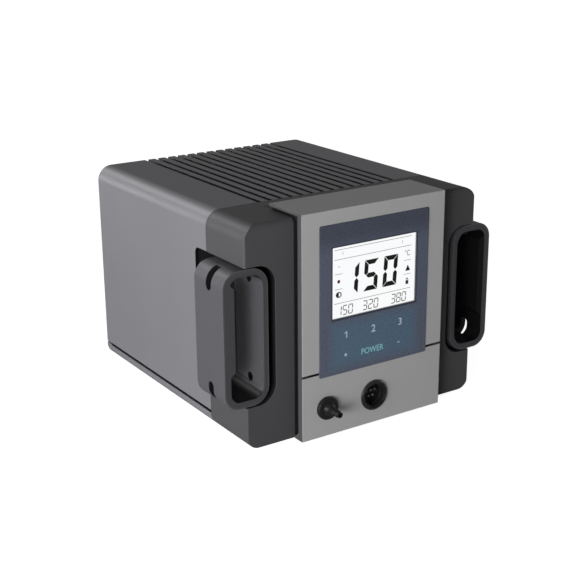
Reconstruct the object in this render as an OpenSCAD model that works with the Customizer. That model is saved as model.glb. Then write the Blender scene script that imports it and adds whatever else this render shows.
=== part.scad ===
// Desoldering station: a benchtop housing with a touch panel, two carrying handles,
// a tool socket and a hose nozzle in front, and the mains inlet and switch at the back.
// +X is to the right of the front panel, +Y is to the back, +Z is up.
// The origin is on the table, under the middle of the whole station.

/* [Housing] */
// Width of the housing without its handles
body_w = 170; // [164:1:184]
// Depth from the front face of the centre panel to the rear edge of the cover
body_d = 198; // [192:1:230]
// Height of the cover above the underside of the housing
body_h = 136; // [132:1:150]
// Thickness of the moulded walls
wall = 2.5; // [2:0.1:3]
// Radius of the two long corners on top
corner_r = 10; // [8:0.5:14]
// Radius of the two long corners underneath
base_r = 8; // [5:0.5:9]
// Height of the tray sides, up to the seam under the cover
tray_h = 9.5; // [9.5:0.5:14]
// Width of the seam between two housing pieces
seam_gap = 0.4; // [0.3:0.1:0.6]
// Width of the seam between the cover and the tray
tray_gap = 0.8; // [0.3:0.1:1.2]
// How far the rear panel stands inside the rear edge of the cover
rear_inset = 6; // [5.5:0.5:8]
// Thickness of the rear panel
rear_t = 2; // [1.5:0.1:2.5]

/* [Vents] */
// Number of long slots in the top
vent_count = 14; // [8:1:16]
// Distance from one top slot to the next
vent_pitch = 7.7; // [7:0.1:8.4]
// How far the row of slots sits to the right of the middle
vent_shift = 2.2; // [0:0.1:4]
// Width of a top slot
vent_w = 2.6; // [1.6:0.1:3]
// Number of ribs that carry the strips between the slots
rib_count = 6; // [4:1:8]
// Height of those ribs under the top wall
rib_h = 3; // [2:0.5:5]

/* [Front frame] */
// How far the cheeks lie behind the front face of the centre panel
cheek_setback = 9; // [8:0.5:11]
// Depth from the front face of the centre panel to the seam of the cover
frame_d = 51; // [50:0.5:56]
// Radius of the edge between a cheek's front and its side
edge_r = 1.2; // [0.8:0.1:3]
// Radius of the edge between a cheek's front and its top
brow_r = 4; // [3:0.5:8]
// Depth of the bay that holds the centre panel
bay_d = 34; // [31:0.5:36]

/* [Centre panel] */
// Width of the centre panel
panel_w = 105; // [100:1:108]
// Height of the seam that parts the two bezels
panel_seam = 41; // [40:0.5:44]
// Depth of the panel's outer rim
rim_d = 4.2; // [3.5:0.1:6]
// Overhang of that rim over the cheeks
rim_lap = 2.4; // [1:0.1:2.8]
// Thickness of the bezels at the panel's edge
face_t = 0.6; // [0.6:0.1:1.8]
// Open seam between the two bezels
panel_gap = 0.7; // [0.3:0.1:1]
// Height by which the panel's core rises above the frame
core_rise = 2; // [1:0.1:3]
// Thickness of the bezels' upper and lower plates
ledge_t = 1.4; // [1.2:0.1:3]
// Thickness of the bezels and of the core inside the rim
bezel_t = 2.5; // [2:0.1:3]
// Clearance of the panel's core in its bay
bay_gap = 0.4; // [0.3:0.1:0.8]

/* [Display] */
// Width of the printed overlay
overlay_w = 80.4; // [76:0.2:84]
// Height of the printed overlay
overlay_h = 92.8; // [90:0.2:96]
// Height of the overlay's lower edge above the underside of the housing
overlay_z = 38; // [36:0.5:39]
// Thickness of the overlay
overlay_t = 1; // [0.8:0.1:1.4]
// How far the overlay stands out of the bezels
overlay_proud = 0.3; // [0.1:0.1:0.5]
// Width of the display window
window_w = 62; // [56:0.5:66]
// Height of the display window
window_h = 43.6; // [40:0.2:48]
// Height of the window's lower edge above the underside of the housing
window_z = 73; // [70:0.5:76]

/* [Handles] */
// How far a handle stands out of the housing's side
handle_out = 14; // [12:0.5:18]
// Width of a handle, from its foot in the pocket to its outer face
handle_w = 29.8; // [28:0.2:32]
// Height of a handle
handle_h = 83.4; // [80:0.2:90]
// Height of a handle's underside above the underside of the housing
handle_z = 27.4; // [25:0.2:30]
// Depth of a handle, front to back
handle_d = 32; // [28:0.5:36]
// Thickness of a handle's outer, upper and lower walls
handle_t = 4.2; // [3.5:0.1:5]
// Thickness of a handle's foot, which is screwed to the frame
handle_foot_t = 3.1; // [2.8:0.1:4]
// Extra thickness of the grip pad
grip_t = 4.2; // [3:0.1:5]
// Radius of a handle's two outer corners
handle_r = 10; // [8:0.5:13]
// Radius of a handle's two corners in the pocket
handle_inner_r = 11; // [7:0.5:12]
// Width of the slots round the outer corners
handle_slot_w = 6; // [4:0.5:8]
// Gap between a handle and its pocket, above and below
pocket_gap = 0.8; // [0.6:0.1:2]
// Height of the bosses between a handle's foot and the pocket wall
boss_h = 4.8; // [3:0.1:5]
// How far a pocket reaches back past the cover's seam
pocket_back = 14; // [8:0.5:15]

/* [Connectors] */
// Distance of the tool socket from the panel's middle
socket_x = 0.4; // [-2:0.2:6]
// Height of the tool socket above the underside of the housing
socket_z = 18.2; // [15:0.2:22]
// Outer diameter of the socket's ring
socket_ring_d = 19.6; // [19:0.2:22]
// Diameter of the socket's thread
socket_d = 16; // [15:0.2:17]
// Distance of the hose nozzle from the panel's left edge
nozzle_side = 17.7; // [16:0.1:22]
// Height of the hose nozzle above the underside of the housing
nozzle_z = 18.4; // [16:0.2:22]
// Diameter of the nozzle's flange
nozzle_flange_d = 14.4; // [12:0.2:16]
// How far the nozzle stands out of the panel
nozzle_reach = 14; // [12:0.5:18]
// Diameter of the nozzle's hose stub
nozzle_d = 4.4; // [4:0.1:5]

/* [Rear fittings] */
// Distance of the mains inlet from the middle
inlet_x = 46; // [38:1:48]
// Height of the inlet's middle above the underside of the housing
inlet_z = 42; // [38:1:56]
// Distance between the centres of the inlet and the power switch
switch_rise = 44; // [40:1:50]
// Angle between the two positions of the rocker
rocker_swing = 20; // [16:1:22]

/* [Feet] */
// Height of the rubber feet
foot_h = 3; // [2.5:0.1:4]
// Diameter of the rubber feet
foot_d = 14; // [12:0.5:16]
// Distance of the feet from the housing's side
foot_side = 19; // [17:0.5:24]

/* [Hidden] */
$fn = 64;
// Extra length that takes a cut clean through a face
cut = 1;
// Clearance between two pieces that lie side by side
lie_gap = 0.3;
// Radial clearance of a pin or screw in the piece that grips it
grip_gap = 0.02;
// Radial clearance of a screw in a plain hole
hole_gap = 0.2;

// Levels and depth lines of the housing
z0 = foot_h;
top_z = z0 + body_h;
core_top = top_z + core_rise;
panel_top = core_top + ledge_t;
tray_floor = z0 + wall;
tray_top = z0 + tray_h;
cover_low = tray_top + tray_gap;
seam_z = z0 + panel_seam;
half_w = body_w / 2;
front_y = -(body_d - nozzle_reach) / 2;
rear_y = front_y + body_d;
cheek_y = front_y + cheek_setback;
rim_y = front_y + rim_d;
bay_y = front_y + bay_d;
seam_y = front_y + frame_d;
cover_y = seam_y + seam_gap;
cover_len = rear_y - cover_y;
rear_face = rear_y - rear_inset;
rear_inner = rear_face - rear_t;

// Bay between the two cheeks
rim_half = panel_w / 2;
bay_half = rim_half - rim_lap;
neck_half = bay_half - bay_gap;
core_in = neck_half - bezel_t;
nozzle_x = -rim_half + nozzle_side;

// Handles and their pockets
handle_y = cheek_y + 0.5;
handle_mid_y = handle_y + handle_d / 2;
handle_outer = half_w + handle_out;
handle_inner = handle_outer - handle_w;
handle_low = z0 + handle_z;
handle_top = handle_low + handle_h;
pocket_x = handle_inner - boss_h;
pocket_low = handle_low - pocket_gap;
pocket_top = handle_top + pocket_gap;
pocket_rear = seam_y + pocket_back;
pocket_r = handle_inner_r + pocket_gap;
pocket_side_r = 4;
liner_t = 2;
handle_boss_r = 4.5;
handle_screw_z = [handle_low + 11.2, handle_top - 10.4];
handle_slot_z = [handle_low + 11.3, handle_top - 10.5];

// Screws, all of one size
screw_r = 1.5;
screw_head_r = 2.9;
screw_head_t = 1.7;
boss_r = 3.5;

// Outline across X and Z, centred on X, with its own corner radii below and above
module arch(w, low, high, r_low, r_high) {
    translate([-w / 2, low + r_low]) square([w, high - low - r_low - r_high]);
    translate([-w / 2 + r_low, low]) square([w - 2 * r_low, r_low]);
    translate([-w / 2 + r_high, high - r_high]) square([w - 2 * r_high, r_high]);
    for (side = [-1, 1]) {
        translate([side * (w / 2 - r_low), low + r_low]) circle(r_low);
        translate([side * (w / 2 - r_high), high - r_high]) circle(r_high);
    }
}

// Rectangle between two corner points, with round corners
module rounded(a, b, r) {
    translate([a[0] + r, a[1]]) square([b[0] - a[0] - 2 * r, b[1] - a[1]]);
    translate([a[0], a[1] + r]) square([b[0] - a[0], b[1] - a[1] - 2 * r]);
    for (u = [a[0] + r, b[0] - r], v = [a[1] + r, b[1] - r]) translate([u, v]) circle(r);
}

// An outline given across X and Z, pushed back along Y
module along_y(y, d) {
    translate([0, y + d, 0]) rotate([90, 0, 0]) linear_extrude(height = d) children();
}

// An outline given across Y and Z, pushed along X
module along_x(x, w) {
    translate([x, 0, 0]) rotate([90, 0, 90]) linear_extrude(height = w) children();
}

// Block between two corner points
module block(a, b) {
    translate(a) cube(b - a);
}

// Round bar along Y, from y to y + d
module bar_y(x, y, z, r, d) {
    translate([x, y + d, z]) rotate([90, 0, 0]) cylinder(r = r, h = d);
}

// Round bar along X, from x to x + w
module bar_x(x, y, z, r, w) {
    translate([x, y, z]) rotate([0, 90, 0]) cylinder(r = r, h = w);
}

// The same piece on both sides of the housing
module both_sides() {
    children();
    mirror([1, 0, 0]) children();
}

// Pan-head screw standing on the origin, its shank pointing up
module pan_screw(len) {
    translate([0, 0, -screw_head_t]) rotate_extrude()
        polygon([[0, 0], [screw_head_r * 0.6, 0], [screw_head_r, screw_head_t * 0.5], [screw_head_r, screw_head_t], [0, screw_head_t]]);
    cylinder(r = screw_r - grip_gap, h = len);
}

// Slot positions across the top
function vent_x(i) = vent_shift + (i - (vent_count - 1) / 2) * vent_pitch;
rear_boss_len = 14;
rear_boss_r = 4;
base_boss_h = 22;
base_boss_inset = 12;
base_screw_len = 12;
// Screw places on the rear panel, given across X and Z, on the right-hand side
rear_screw_x = half_w - wall - lie_gap - screw_head_r;
rear_screw_places = [[rear_screw_x, top_z - 20], [rear_screw_x, tray_top + 12]];
// Screw places under the tray
base_screw_x = half_w - base_r - boss_r;
base_screw_y = [pocket_rear + liner_t + base_boss_inset, rear_inner - rear_boss_len - base_boss_inset];

// Grey cover over both sides and the top, with the vent slots and its screw bosses
module wrap_cover() {
    color("#85858a") difference() {
        union() {
            difference() {
                along_y(cover_y, cover_len) arch(body_w, z0, top_z, base_r, corner_r);
                along_y(cover_y - cut, cover_len + 2 * cut)
                    arch(body_w - 2 * wall, z0 - body_h / 2, top_z - wall, base_r, corner_r - wall);
                block([-body_w, cover_y - cut, z0 - cut], [body_w, rear_y + cut, cover_low]);
                for (i = [0 : vent_count - 1])
                    block([vent_x(i) - vent_w / 2, cover_y - cut, top_z - wall - cut],
                        [vent_x(i) + vent_w / 2, rear_y + cut, top_z + cut]);
            }
            vent_ribs();
            both_sides() cover_bosses();
        }
        both_sides() {
            cover_screw_holes();
            pocket_outline(pocket_x, 0);
        }
    }
}

// Ribs under the top that carry the strips between the slots
module vent_ribs() {
    step = (rear_inner - cover_y - wall) / (rib_count - 1);
    for (i = [0 : rib_count - 1])
        block([vent_x(0) - vent_w, cover_y + i * step, top_z - wall - rib_h],
            [vent_x(vent_count - 1) + vent_w, cover_y + i * step + wall, top_z - wall]);
}

// Bosses for the rear panel's screws and for the screws under the tray
module cover_bosses() {
    for (p = rear_screw_places) bar_y(p[0], rear_inner - rear_boss_len, p[1], rear_boss_r, rear_boss_len);
    for (y = base_screw_y) {
        translate([base_screw_x, y, tray_floor]) cylinder(r = boss_r, h = base_boss_h);
        block([base_screw_x, y - wall / 2, cover_low], [half_w - wall / 2, y + wall / 2, tray_floor + base_boss_h]);
    }
}

module cover_screw_holes() {
    for (p = rear_screw_places) bar_y(p[0], rear_inner - rear_boss_len + wall, p[1], screw_r, rear_boss_len);
    for (y = base_screw_y) translate([base_screw_x, y, z0]) cylinder(r = screw_r, h = base_screw_len + cut);
}

// Row of cooling slots in the tray's floor
floor_vent_count = 9;
floor_vent_pitch = 9;
floor_vent_w = 3;
floor_vent_len = 16;
floor_vent_y = rear_inner - floor_vent_len - 8;
// Tongue of the tray that lies on the frame's floor and takes two screws
tongue_len = 10;
tongue_half = bay_half - 6;
tongue_screw_x = tongue_half - 8;
tongue_screw_y = seam_y - tongue_len / 2;

// Tray under the cover: it carries the rear panel, the pump and the transformer
module base_tray() {
    color("#85858a") difference() {
        union() {
            intersection() {
                along_y(cover_y, cover_len) arch(body_w, z0, top_z, base_r, corner_r);
                block([-body_w, cover_y, z0 - cut], [body_w, rear_y, tray_top]);
            }
            block([-tongue_half, seam_y - tongue_len, tray_floor],
                [tongue_half, cover_y + wall, tray_floor + wall]);
        }
        along_y(cover_y + wall, cover_len)
            arch(body_w - 2 * wall, tray_floor, top_z, base_r - wall, corner_r);
        both_sides() {
            for (y = base_screw_y) translate([base_screw_x, y, z0 - cut]) {
                cylinder(r = screw_r + hole_gap, h = wall + 2 * cut);
                cylinder(r = screw_head_r + hole_gap, h = cut + screw_head_t);
            }
            translate([foot_x, rear_foot_y, z0 - cut]) cylinder(r = screw_r, h = wall + 2 * cut);
            translate([tongue_screw_x, tongue_screw_y, z0]) cylinder(r = screw_r, h = 3 * wall);
        }
        for (i = [0 : floor_vent_count - 1]) {
            x = (i - (floor_vent_count - 1) / 2) * floor_vent_pitch;
            block([x - floor_vent_w / 2, floor_vent_y, z0 - cut],
                [x + floor_vent_w / 2, floor_vent_y + floor_vent_len, tray_floor + cut]);
        }
    }
}

// Feet stand under the cheeks and under the rear of the tray
foot_x = half_w - foot_side;
front_foot_y = cheek_y + 20;
rear_foot_y = rear_inner - 14;
foot_seat = 1;

module at_feet() {
    both_sides() for (y = [front_foot_y, rear_foot_y]) translate([foot_x, y, 0]) children();
}

module feet() {
    color("#161616") at_feet() difference() {
        rotate_extrude() polygon([[0, 0], [foot_d / 2 - 1.2, 0], [foot_d / 2 - 0.2, 0.6],
            [foot_d / 2, foot_h], [0, foot_h]]);
        translate([0, 0, -cut]) cylinder(r = screw_head_r + hole_gap, h = cut + foot_h - foot_seat);
        translate([0, 0, -cut]) cylinder(r = screw_r + hole_gap, h = foot_h + 2 * cut);
    }
}

module foot_screws() {
    color("#b8bbbe") at_feet() translate([0, 0, foot_h - foot_seat]) {
        translate([0, 0, -foot_seat]) cylinder(r = screw_head_r, h = foot_seat);
        cylinder(r = screw_r - grip_gap, h = foot_seat + wall);
    }
}

module base_screws() {
    color("#b8bbbe") both_sides() for (y = base_screw_y)
        translate([base_screw_x, y, z0 + screw_head_t]) pan_screw(base_screw_len - screw_head_t);
}

module frame_screws() {
    color("#b8bbbe") both_sides()
        translate([tongue_screw_x, tongue_screw_y, z0 + screw_head_t]) pan_screw(2 * wall - screw_head_t);
}

// Side view of the front frame with its round brow
module frame_side_view(inset) {
    polygon([[cheek_y + inset, z0 - cut], [cheek_y + inset, top_z - brow_r], [cheek_y + brow_r, top_z - inset],
        [seam_y + cut, top_z - inset], [seam_y + cut, z0 - cut]]);
    translate([cheek_y + brow_r, top_z - brow_r]) circle(brow_r - inset);
}

// Block of the frame: the cover's outline with the brow in front, set in by a wall where it is hollow
module frame_form(inset) {
    intersection() {
        along_y(cheek_y, seam_y - cheek_y + (inset > 0 ? cut : 0))
            arch(body_w - 2 * inset, z0 + inset, top_z - inset, base_r - inset, corner_r - inset);
        along_x(-body_w, 2 * body_w) frame_side_view(inset);
    }
}

module frame_outside() {
    intersection() {
        frame_form(0);
        translate([0, 0, z0 - cut]) linear_extrude(height = top_z)
            rounded([-half_w, cheek_y], [half_w, seam_y + 2 * edge_r], edge_r);
    }
}

// The frame's inside: a chamber in each cheek and one behind the bay
module frame_inside() {
    intersection() {
        frame_form(wall);
        union() {
            both_sides() block([bay_half + wall, cheek_y, z0], [body_w, seam_y + cut, panel_top]);
            block([-body_w, bay_y + wall, z0], [body_w, seam_y + cut, panel_top]);
        }
    }
}

// Space of one handle pocket, grown by a margin, from the plane x to the outside
module pocket_outline(x, margin) {
    intersection() {
        along_y(front_y, pocket_rear + margin - front_y)
            rounded([pocket_x - margin, pocket_low - margin],
                [half_w + 3 * pocket_r, pocket_top + margin], pocket_r);
        along_x(x, half_w + 2 * pocket_r - x)
            rounded([front_y - pocket_r, pocket_low - margin],
                [pocket_rear + margin, pocket_top + margin], pocket_side_r);
    }
}

// Holes through the bulkhead for the air tube and for the wires
tube_hole_r = 5;
wire_hole = [30, 12];
standoff_h = 8;
standoff_x = 38;
standoff_z = [z0 + 42, z0 + 118];

// Charcoal frame round the front, with the bay for the centre panel and the handle pockets
module front_frame() {
    color("#47474a") difference() {
        union() {
            difference() {
                frame_outside();
                frame_inside();
            }
            both_sides() {
                intersection() {
                    pocket_outline(pocket_x - liner_t, liner_t);
                    union() {
                        block([pocket_x - liner_t, cheek_y + cut, z0], [half_w, seam_y, top_z]);
                        block([pocket_x - liner_t, cheek_y + cut, z0], [half_w - wall - lie_gap, rear_y, top_z]);
                    }
                }
                for (z = standoff_z) bar_y(standoff_x, bay_y + cut, z, boss_r, wall - cut + standoff_h);
            }
        }
        block([-bay_half, cheek_y - cut, z0 - cut], [bay_half, bay_y, panel_top]);
        both_sides() {
            difference() {
                pocket_outline(pocket_x, 0);
                for (z = handle_screw_z)
                    bar_x(pocket_x - liner_t, handle_mid_y, z, handle_boss_r, liner_t + boss_h);
            }
            for (z = handle_screw_z)
                bar_x(pocket_x - liner_t - cut, handle_mid_y, z, screw_r, liner_t + boss_h + 2 * cut);
            for (z = standoff_z) bar_y(standoff_x, bay_y - cut, z, screw_r, wall + standoff_h + 2 * cut);
            translate([foot_x, front_foot_y, z0 - cut]) cylinder(r = screw_r, h = wall + 2 * cut);
            translate([tongue_screw_x, tongue_screw_y, z0 - cut]) {
                cylinder(r = screw_r + hole_gap, h = wall + 2 * cut);
                cylinder(r = screw_head_r + hole_gap, h = cut + screw_head_t);
            }
        }
        bar_y(nozzle_x, bay_y - cut, z0 + nozzle_z, tube_hole_r, wall + 2 * cut);
        block([-wire_hole[0] / 2, bay_y - cut, z0 + panel_seam + 8],
            [wire_hole[0] / 2, bay_y + wall + cut, z0 + panel_seam + 8 + wire_hole[1]]);
    }
}

// Recess that both bezels share, for the overlay
overlay_back = front_y + overlay_t - overlay_proud;
overlay_low = z0 + overlay_z;
overlay_top = overlay_low + overlay_h;
overlay_r = 1.2;
overlay_gap = 0.1;
window_low = z0 + window_z;
window_top = window_low + window_h;
rim_edge_r = 0.5;
// Posts on the upper bezel that carry the display board, half-way between the display and the core
lcd_margin = 3;
lcd_t = 5;
post_x = (window_w / 2 + lcd_margin + core_in) / 2;
post_z = [window_low - 8, window_top + 5];
post_r = 3;
board_y = front_y + bezel_t + lcd_t;
board_t = 1.6;
board_half = core_in - 1.5;
display_screw_len = 4;

module overlay_recess() {
    along_y(front_y - cut, overlay_back - front_y + cut)
        rounded([-overlay_w / 2 - overlay_gap, overlay_low - overlay_gap],
            [overlay_w / 2 + overlay_gap, overlay_top + overlay_gap], overlay_r);
}

// A slice of the panel's rim between two levels, with its two front corners rounded
module rim_slice(y, low, high) {
    translate([0, 0, low]) linear_extrude(height = high - low) intersection() {
        rounded([-rim_half, front_y], [rim_half, rim_y + rim_d], rim_edge_r);
        translate([-rim_half, front_y]) square([2 * rim_half, y - front_y]);
    }
}

// Charcoal tube between the bezels and the bulkhead, seen as the side of the panel
module panel_core() {
    low = z0 + ledge_t;
    color("#47474a") difference() {
        union() {
            block([-rim_half, front_y + face_t, low], [rim_half, rim_y, core_top]);
            block([-neck_half, front_y + face_t, low], [neck_half, bay_y, core_top]);
        }
        block([-core_in, front_y, low + bezel_t], [core_in, bay_y + cut, core_top - bezel_t]);
    }
}

// Upper part of the centre panel: display surround and the ledge on top
module upper_bezel() {
    low = seam_z + panel_gap / 2;
    inside = core_in - lie_gap;
    color("#a9aaab") difference() {
        union() {
            rim_slice(front_y + face_t, low, panel_top);
            block([-inside, front_y + face_t / 2, low], [inside, front_y + bezel_t, core_top - bezel_t - lie_gap]);
            translate([0, 0, core_top]) linear_extrude(height = ledge_t)
                rounded([-rim_half, front_y], [rim_half, bay_y], rim_edge_r);
            for (x = [-post_x, post_x], z = post_z) bar_y(x, front_y + bezel_t - cut, z, post_r, lcd_t + cut);
        }
        overlay_recess();
        block([-window_w / 2, front_y - cut, window_low], [window_w / 2, front_y + bezel_t + cut, window_top]);
        for (x = [-post_x, post_x], z = post_z)
            bar_y(x, board_y - display_screw_len, z, screw_r, display_screw_len + cut);
    }
}

// Lower part of the centre panel: it holds the hose nozzle and the tool socket
module lower_bezel() {
    high = seam_z - panel_gap / 2;
    inside = core_in - lie_gap;
    color("#a3a4a5") difference() {
        union() {
            rim_slice(front_y + face_t, z0, high);
            rim_slice(cheek_y - lie_gap, z0, z0 + ledge_t);
            block([-neck_half, rim_y - cut, z0], [neck_half, bay_y, z0 + ledge_t]);
            block([-inside, front_y + face_t / 2, z0 + ledge_t + bezel_t + lie_gap], [inside, front_y + bezel_t, high]);
        }
        overlay_recess();
        bar_y(socket_x, front_y - cut, z0 + socket_z, socket_d / 2 + grip_gap, bezel_t + 2 * cut);
        bar_y(nozzle_x, front_y - cut, z0 + nozzle_z, nozzle_shank_r + grip_gap, bezel_t + 2 * cut);
    }
}

// Printed overlay with the touch keys behind it
module touch_overlay() {
    color("#2f3a4c") along_y(overlay_back - overlay_t, overlay_t) difference() {
        rounded([-overlay_w / 2, overlay_low], [overlay_w / 2, overlay_top], overlay_r);
        translate([-window_w / 2, window_low]) square([window_w, window_h]);
    }
}

// Clear window, flush in the overlay
module display_window() {
    color("#dfe8ee") block([-window_w / 2 + overlay_gap, overlay_back - overlay_t, window_low + overlay_gap],
        [window_w / 2 - overlay_gap, overlay_back, window_top - overlay_gap]);
}

// Display: its raised face fills the window of the bezel, its body lies on the board
module lcd_module() {
    color("#f2f4f4") union() {
        block([-window_w / 2 + lie_gap, overlay_back, window_low + lie_gap],
            [window_w / 2 - lie_gap, front_y + bezel_t + lie_gap, window_top - lie_gap]);
        block([-window_w / 2 - lcd_margin, front_y + bezel_t, window_low - lcd_margin],
            [window_w / 2 + lcd_margin, board_y, window_top + lcd_margin]);
    }
}

// Sizes of the parts on the display board
board_edge = 4;
board_low = window_low - 22;
chip_half = 8;
chip_t = 1.5;
plug_half = 22;
plug_t = 6;

// Board behind the display, with the controller and the plug strip on its back
module display_board() {
    color("#1f5a3a") difference() {
        union() {
            block([-board_half, board_y, board_low], [board_half, board_y + board_t, window_top + 2 * post_r + board_edge]);
            block([-chip_half, board_y + board_t, window_low + chip_half],
                [chip_half, board_y + board_t + chip_t, window_low + 3 * chip_half]);
            block([-plug_half, board_y + board_t, board_low + board_edge],
                [plug_half, board_y + board_t + plug_t, board_low + board_edge + plug_t]);
        }
        for (x = [-post_x, post_x], z = post_z) bar_y(x, board_y - cut, z, screw_r + hole_gap, board_t + 2 * cut);
    }
}

module display_screws() {
    color("#b8bbbe") for (x = [-post_x, post_x], z = post_z)
        translate([x, board_y + board_t, z]) rotate([90, 0, 0]) pan_screw(board_t + display_screw_len - cut);
}

grip_low = handle_low + 24.5;
grip_high = handle_top - handle_t - 3;
grip_slope = 4;
slot_start = 2;
handle_hole = [handle_inner + handle_foot_t, handle_outer - handle_t];

// Rectangle with one radius at its two corners in the pocket and another at its two outer corners
module hoop(x_in, x_out, low, high, r_in, r_out) {
    mid = (x_in + x_out) / 2;
    translate([x_in + r_in, low]) square([mid - x_in - r_in, high - low]);
    translate([x_in, low + r_in]) square([mid - x_in, high - low - 2 * r_in]);
    translate([mid, low]) square([x_out - r_out - mid, high - low]);
    translate([mid, low + r_out]) square([x_out - mid, high - low - 2 * r_out]);
    for (z = [low + r_in, high - r_in]) translate([x_in + r_in, z]) circle(r_in);
    for (z = [low + r_out, high - r_out]) translate([x_out - r_out, z]) circle(r_out);
}

// Hoop handle with a grip pad inside its outer wall and a slot round each outer corner
module handle_right() {
    color("#434346") difference() {
        along_y(handle_y, handle_d) difference() {
            hoop(handle_inner, handle_outer, handle_low, handle_top, handle_inner_r, handle_r);
            difference() {
                hoop(handle_hole[0], handle_hole[1], handle_low + handle_t, handle_top - handle_t,
                    handle_inner_r - handle_foot_t, handle_r - handle_t);
                polygon([[handle_hole[1] + cut, grip_low - grip_slope], [handle_hole[1], grip_low - grip_slope],
                    [handle_hole[1] - grip_t, grip_low], [handle_hole[1] - grip_t, grip_high - grip_slope],
                    [handle_hole[1], grip_high], [handle_hole[1] + cut, grip_high]]);
            }
        }
        handle_slots();
        for (z = handle_screw_z) {
            bar_x(handle_inner - cut, handle_mid_y, z, screw_r + hole_gap, handle_foot_t + 2 * cut);
            translate([handle_hole[0] - screw_head_t, handle_mid_y, z]) rotate([0, 90, 0])
                cylinder(r1 = screw_r + hole_gap, r2 = screw_head_r + hole_gap, h = screw_head_t);
            bar_x(handle_hole[0], handle_mid_y, z, screw_head_r + hole_gap, screw_head_r);
        }
    }
}

// Slots half-way along the handle, from its outer wall round each corner
module handle_slots() {
    r = handle_slot_w / 2;
    start = handle_outer - handle_r + slot_start;
    ends = [handle_low - cut, handle_top + cut];
    for (i = [0, 1]) {
        bar_x(start, handle_mid_y, handle_slot_z[i], r, handle_r);
        block([start, handle_mid_y - r, min(handle_slot_z[i], ends[i])],
            [handle_outer + cut, handle_mid_y + r, max(handle_slot_z[i], ends[i])]);
    }
}

module handle_left() {
    mirror([1, 0, 0]) handle_right();
}

module handle_screws() {
    color("#1c1c1e") both_sides() for (z = handle_screw_z)
        translate([handle_hole[0] - screw_head_t, handle_mid_y, z]) rotate([0, 90, 0]) {
            cylinder(r1 = screw_r, r2 = screw_head_r, h = screw_head_t);
            translate([0, 0, -handle_foot_t - boss_h + screw_head_t - liner_t])
                cylinder(r = screw_r - grip_gap, h = handle_foot_t + boss_h + liner_t - screw_head_t + cut / 2);
        }
}

// Depths of the tool socket
ring_t = 1.6;
shell_wall = 0.9;
shell_step = 0.6;
mouth_depth = 2.4;
socket_depth = 15;
insert_back = 6;
insert_t = 8;
pin_r = 0.8;
pin_tip = 2.6;
pin_tail = 4;
nut_t = 3;
key_w = 2;
socket_insert_r = socket_d / 2 - shell_wall - shell_step;
pin_places = [[-3.2, 1.9], [0, 1.9], [3.2, 1.9], [-1.7, -1.7], [1.7, -1.7]];

// Moves a piece that is drawn round Y onto the tool socket
module at_socket() {
    translate([socket_x, 0, z0 + socket_z]) children();
}

// Trim ring in front of the panel
module socket_ring() {
    color("#2a2a2c") at_socket() translate([0, front_y, 0]) rotate([90, 0, 0]) rotate_extrude()
        polygon([[socket_d / 2 + grip_gap, 0], [socket_ring_d / 2, 0], [socket_ring_d / 2, ring_t * 0.6],
            [socket_ring_d / 2 - ring_t * 0.6, ring_t], [socket_d / 2 + grip_gap, ring_t]]);
}

// Threaded shell, with a keyway inside for the plug
module socket_shell() {
    color("#1d1d1f") at_socket() difference() {
        bar_y(0, front_y - ring_t / 2, 0, socket_d / 2, socket_depth + ring_t / 2);
        bar_y(0, front_y - ring_t, 0, socket_d / 2 - shell_wall, ring_t + mouth_depth);
        bar_y(0, front_y, 0, socket_insert_r + grip_gap, socket_depth + cut);
        block([-key_w / 2, front_y - ring_t, -socket_d / 2 + shell_wall / 2], [key_w / 2, front_y + insert_back, 0]);
    }
}

module socket_insert() {
    color("#0e0e10") at_socket() difference() {
        bar_y(0, front_y + insert_back, 0, socket_insert_r, insert_t);
        for (p = pin_places) bar_y(p[0], front_y + insert_back - cut, p[1], pin_r + grip_gap, insert_t + 2 * cut);
    }
}

module socket_pins() {
    color("#c9cacc") at_socket() for (p = pin_places)
        bar_y(p[0], front_y + pin_tip, p[1], pin_r, insert_back - pin_tip + insert_t + pin_tail);
}

// Hexagonal nut behind a wall of the lower bezel
module panel_nut(r_hole, across) {
    translate([0, front_y + bezel_t + nut_t, 0]) rotate([90, 0, 0]) difference() {
        cylinder(r = across / 2 / cos(30), h = nut_t, $fn = 6);
        translate([0, 0, -cut]) cylinder(r = r_hole + grip_gap, h = nut_t + 2 * cut);
    }
}

module socket_nut() {
    color("#b8bbbe") at_socket() panel_nut(socket_d / 2, socket_d + 4);
}

// Sizes of the hose nozzle
nozzle_shank_r = 4;
nozzle_shank_len = 8;
nozzle_tail_len = 10;
nozzle_bore_r = 1.2;
nozzle_cap = 2.6;
nozzle_collar = 3.4;
barb = 0.35;

// Nozzle turned from one piece: flange, collar and a barbed stub towards the user
module hose_nozzle() {
    r = nozzle_d / 2;
    color("#232325") translate([nozzle_x, front_y, z0 + nozzle_z]) rotate([90, 0, 0]) difference() {
        rotate_extrude() polygon([[0, -nozzle_shank_len - nozzle_tail_len], [r, -nozzle_shank_len - nozzle_tail_len],
            [r, -nozzle_shank_len], [nozzle_shank_r, -nozzle_shank_len], [nozzle_shank_r, 0],
            [nozzle_flange_d / 2, 0], [nozzle_flange_d / 2, nozzle_cap - 0.8], [nozzle_flange_d / 2 - 0.8, nozzle_cap],
            [nozzle_collar + 0.6, nozzle_cap + 0.3], [nozzle_collar - 0.4, nozzle_cap + 2.4], [r, nozzle_cap + 2.8],
            [r, nozzle_reach - 4], [r - barb, nozzle_reach - 4], [r, nozzle_reach - 1.8], [r - barb, nozzle_reach - 1.8],
            [r - 2 * barb, nozzle_reach], [0, nozzle_reach]]);
        translate([0, 0, -2 * nozzle_shank_len - nozzle_tail_len])
            cylinder(r = nozzle_bore_r, h = nozzle_reach + 3 * nozzle_shank_len + nozzle_tail_len);
    }
}

module nozzle_nut() {
    color("#b8bbbe") translate([nozzle_x, 0, z0 + nozzle_z]) panel_nut(nozzle_shank_r, 2 * nozzle_shank_r + 4);
}

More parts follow.
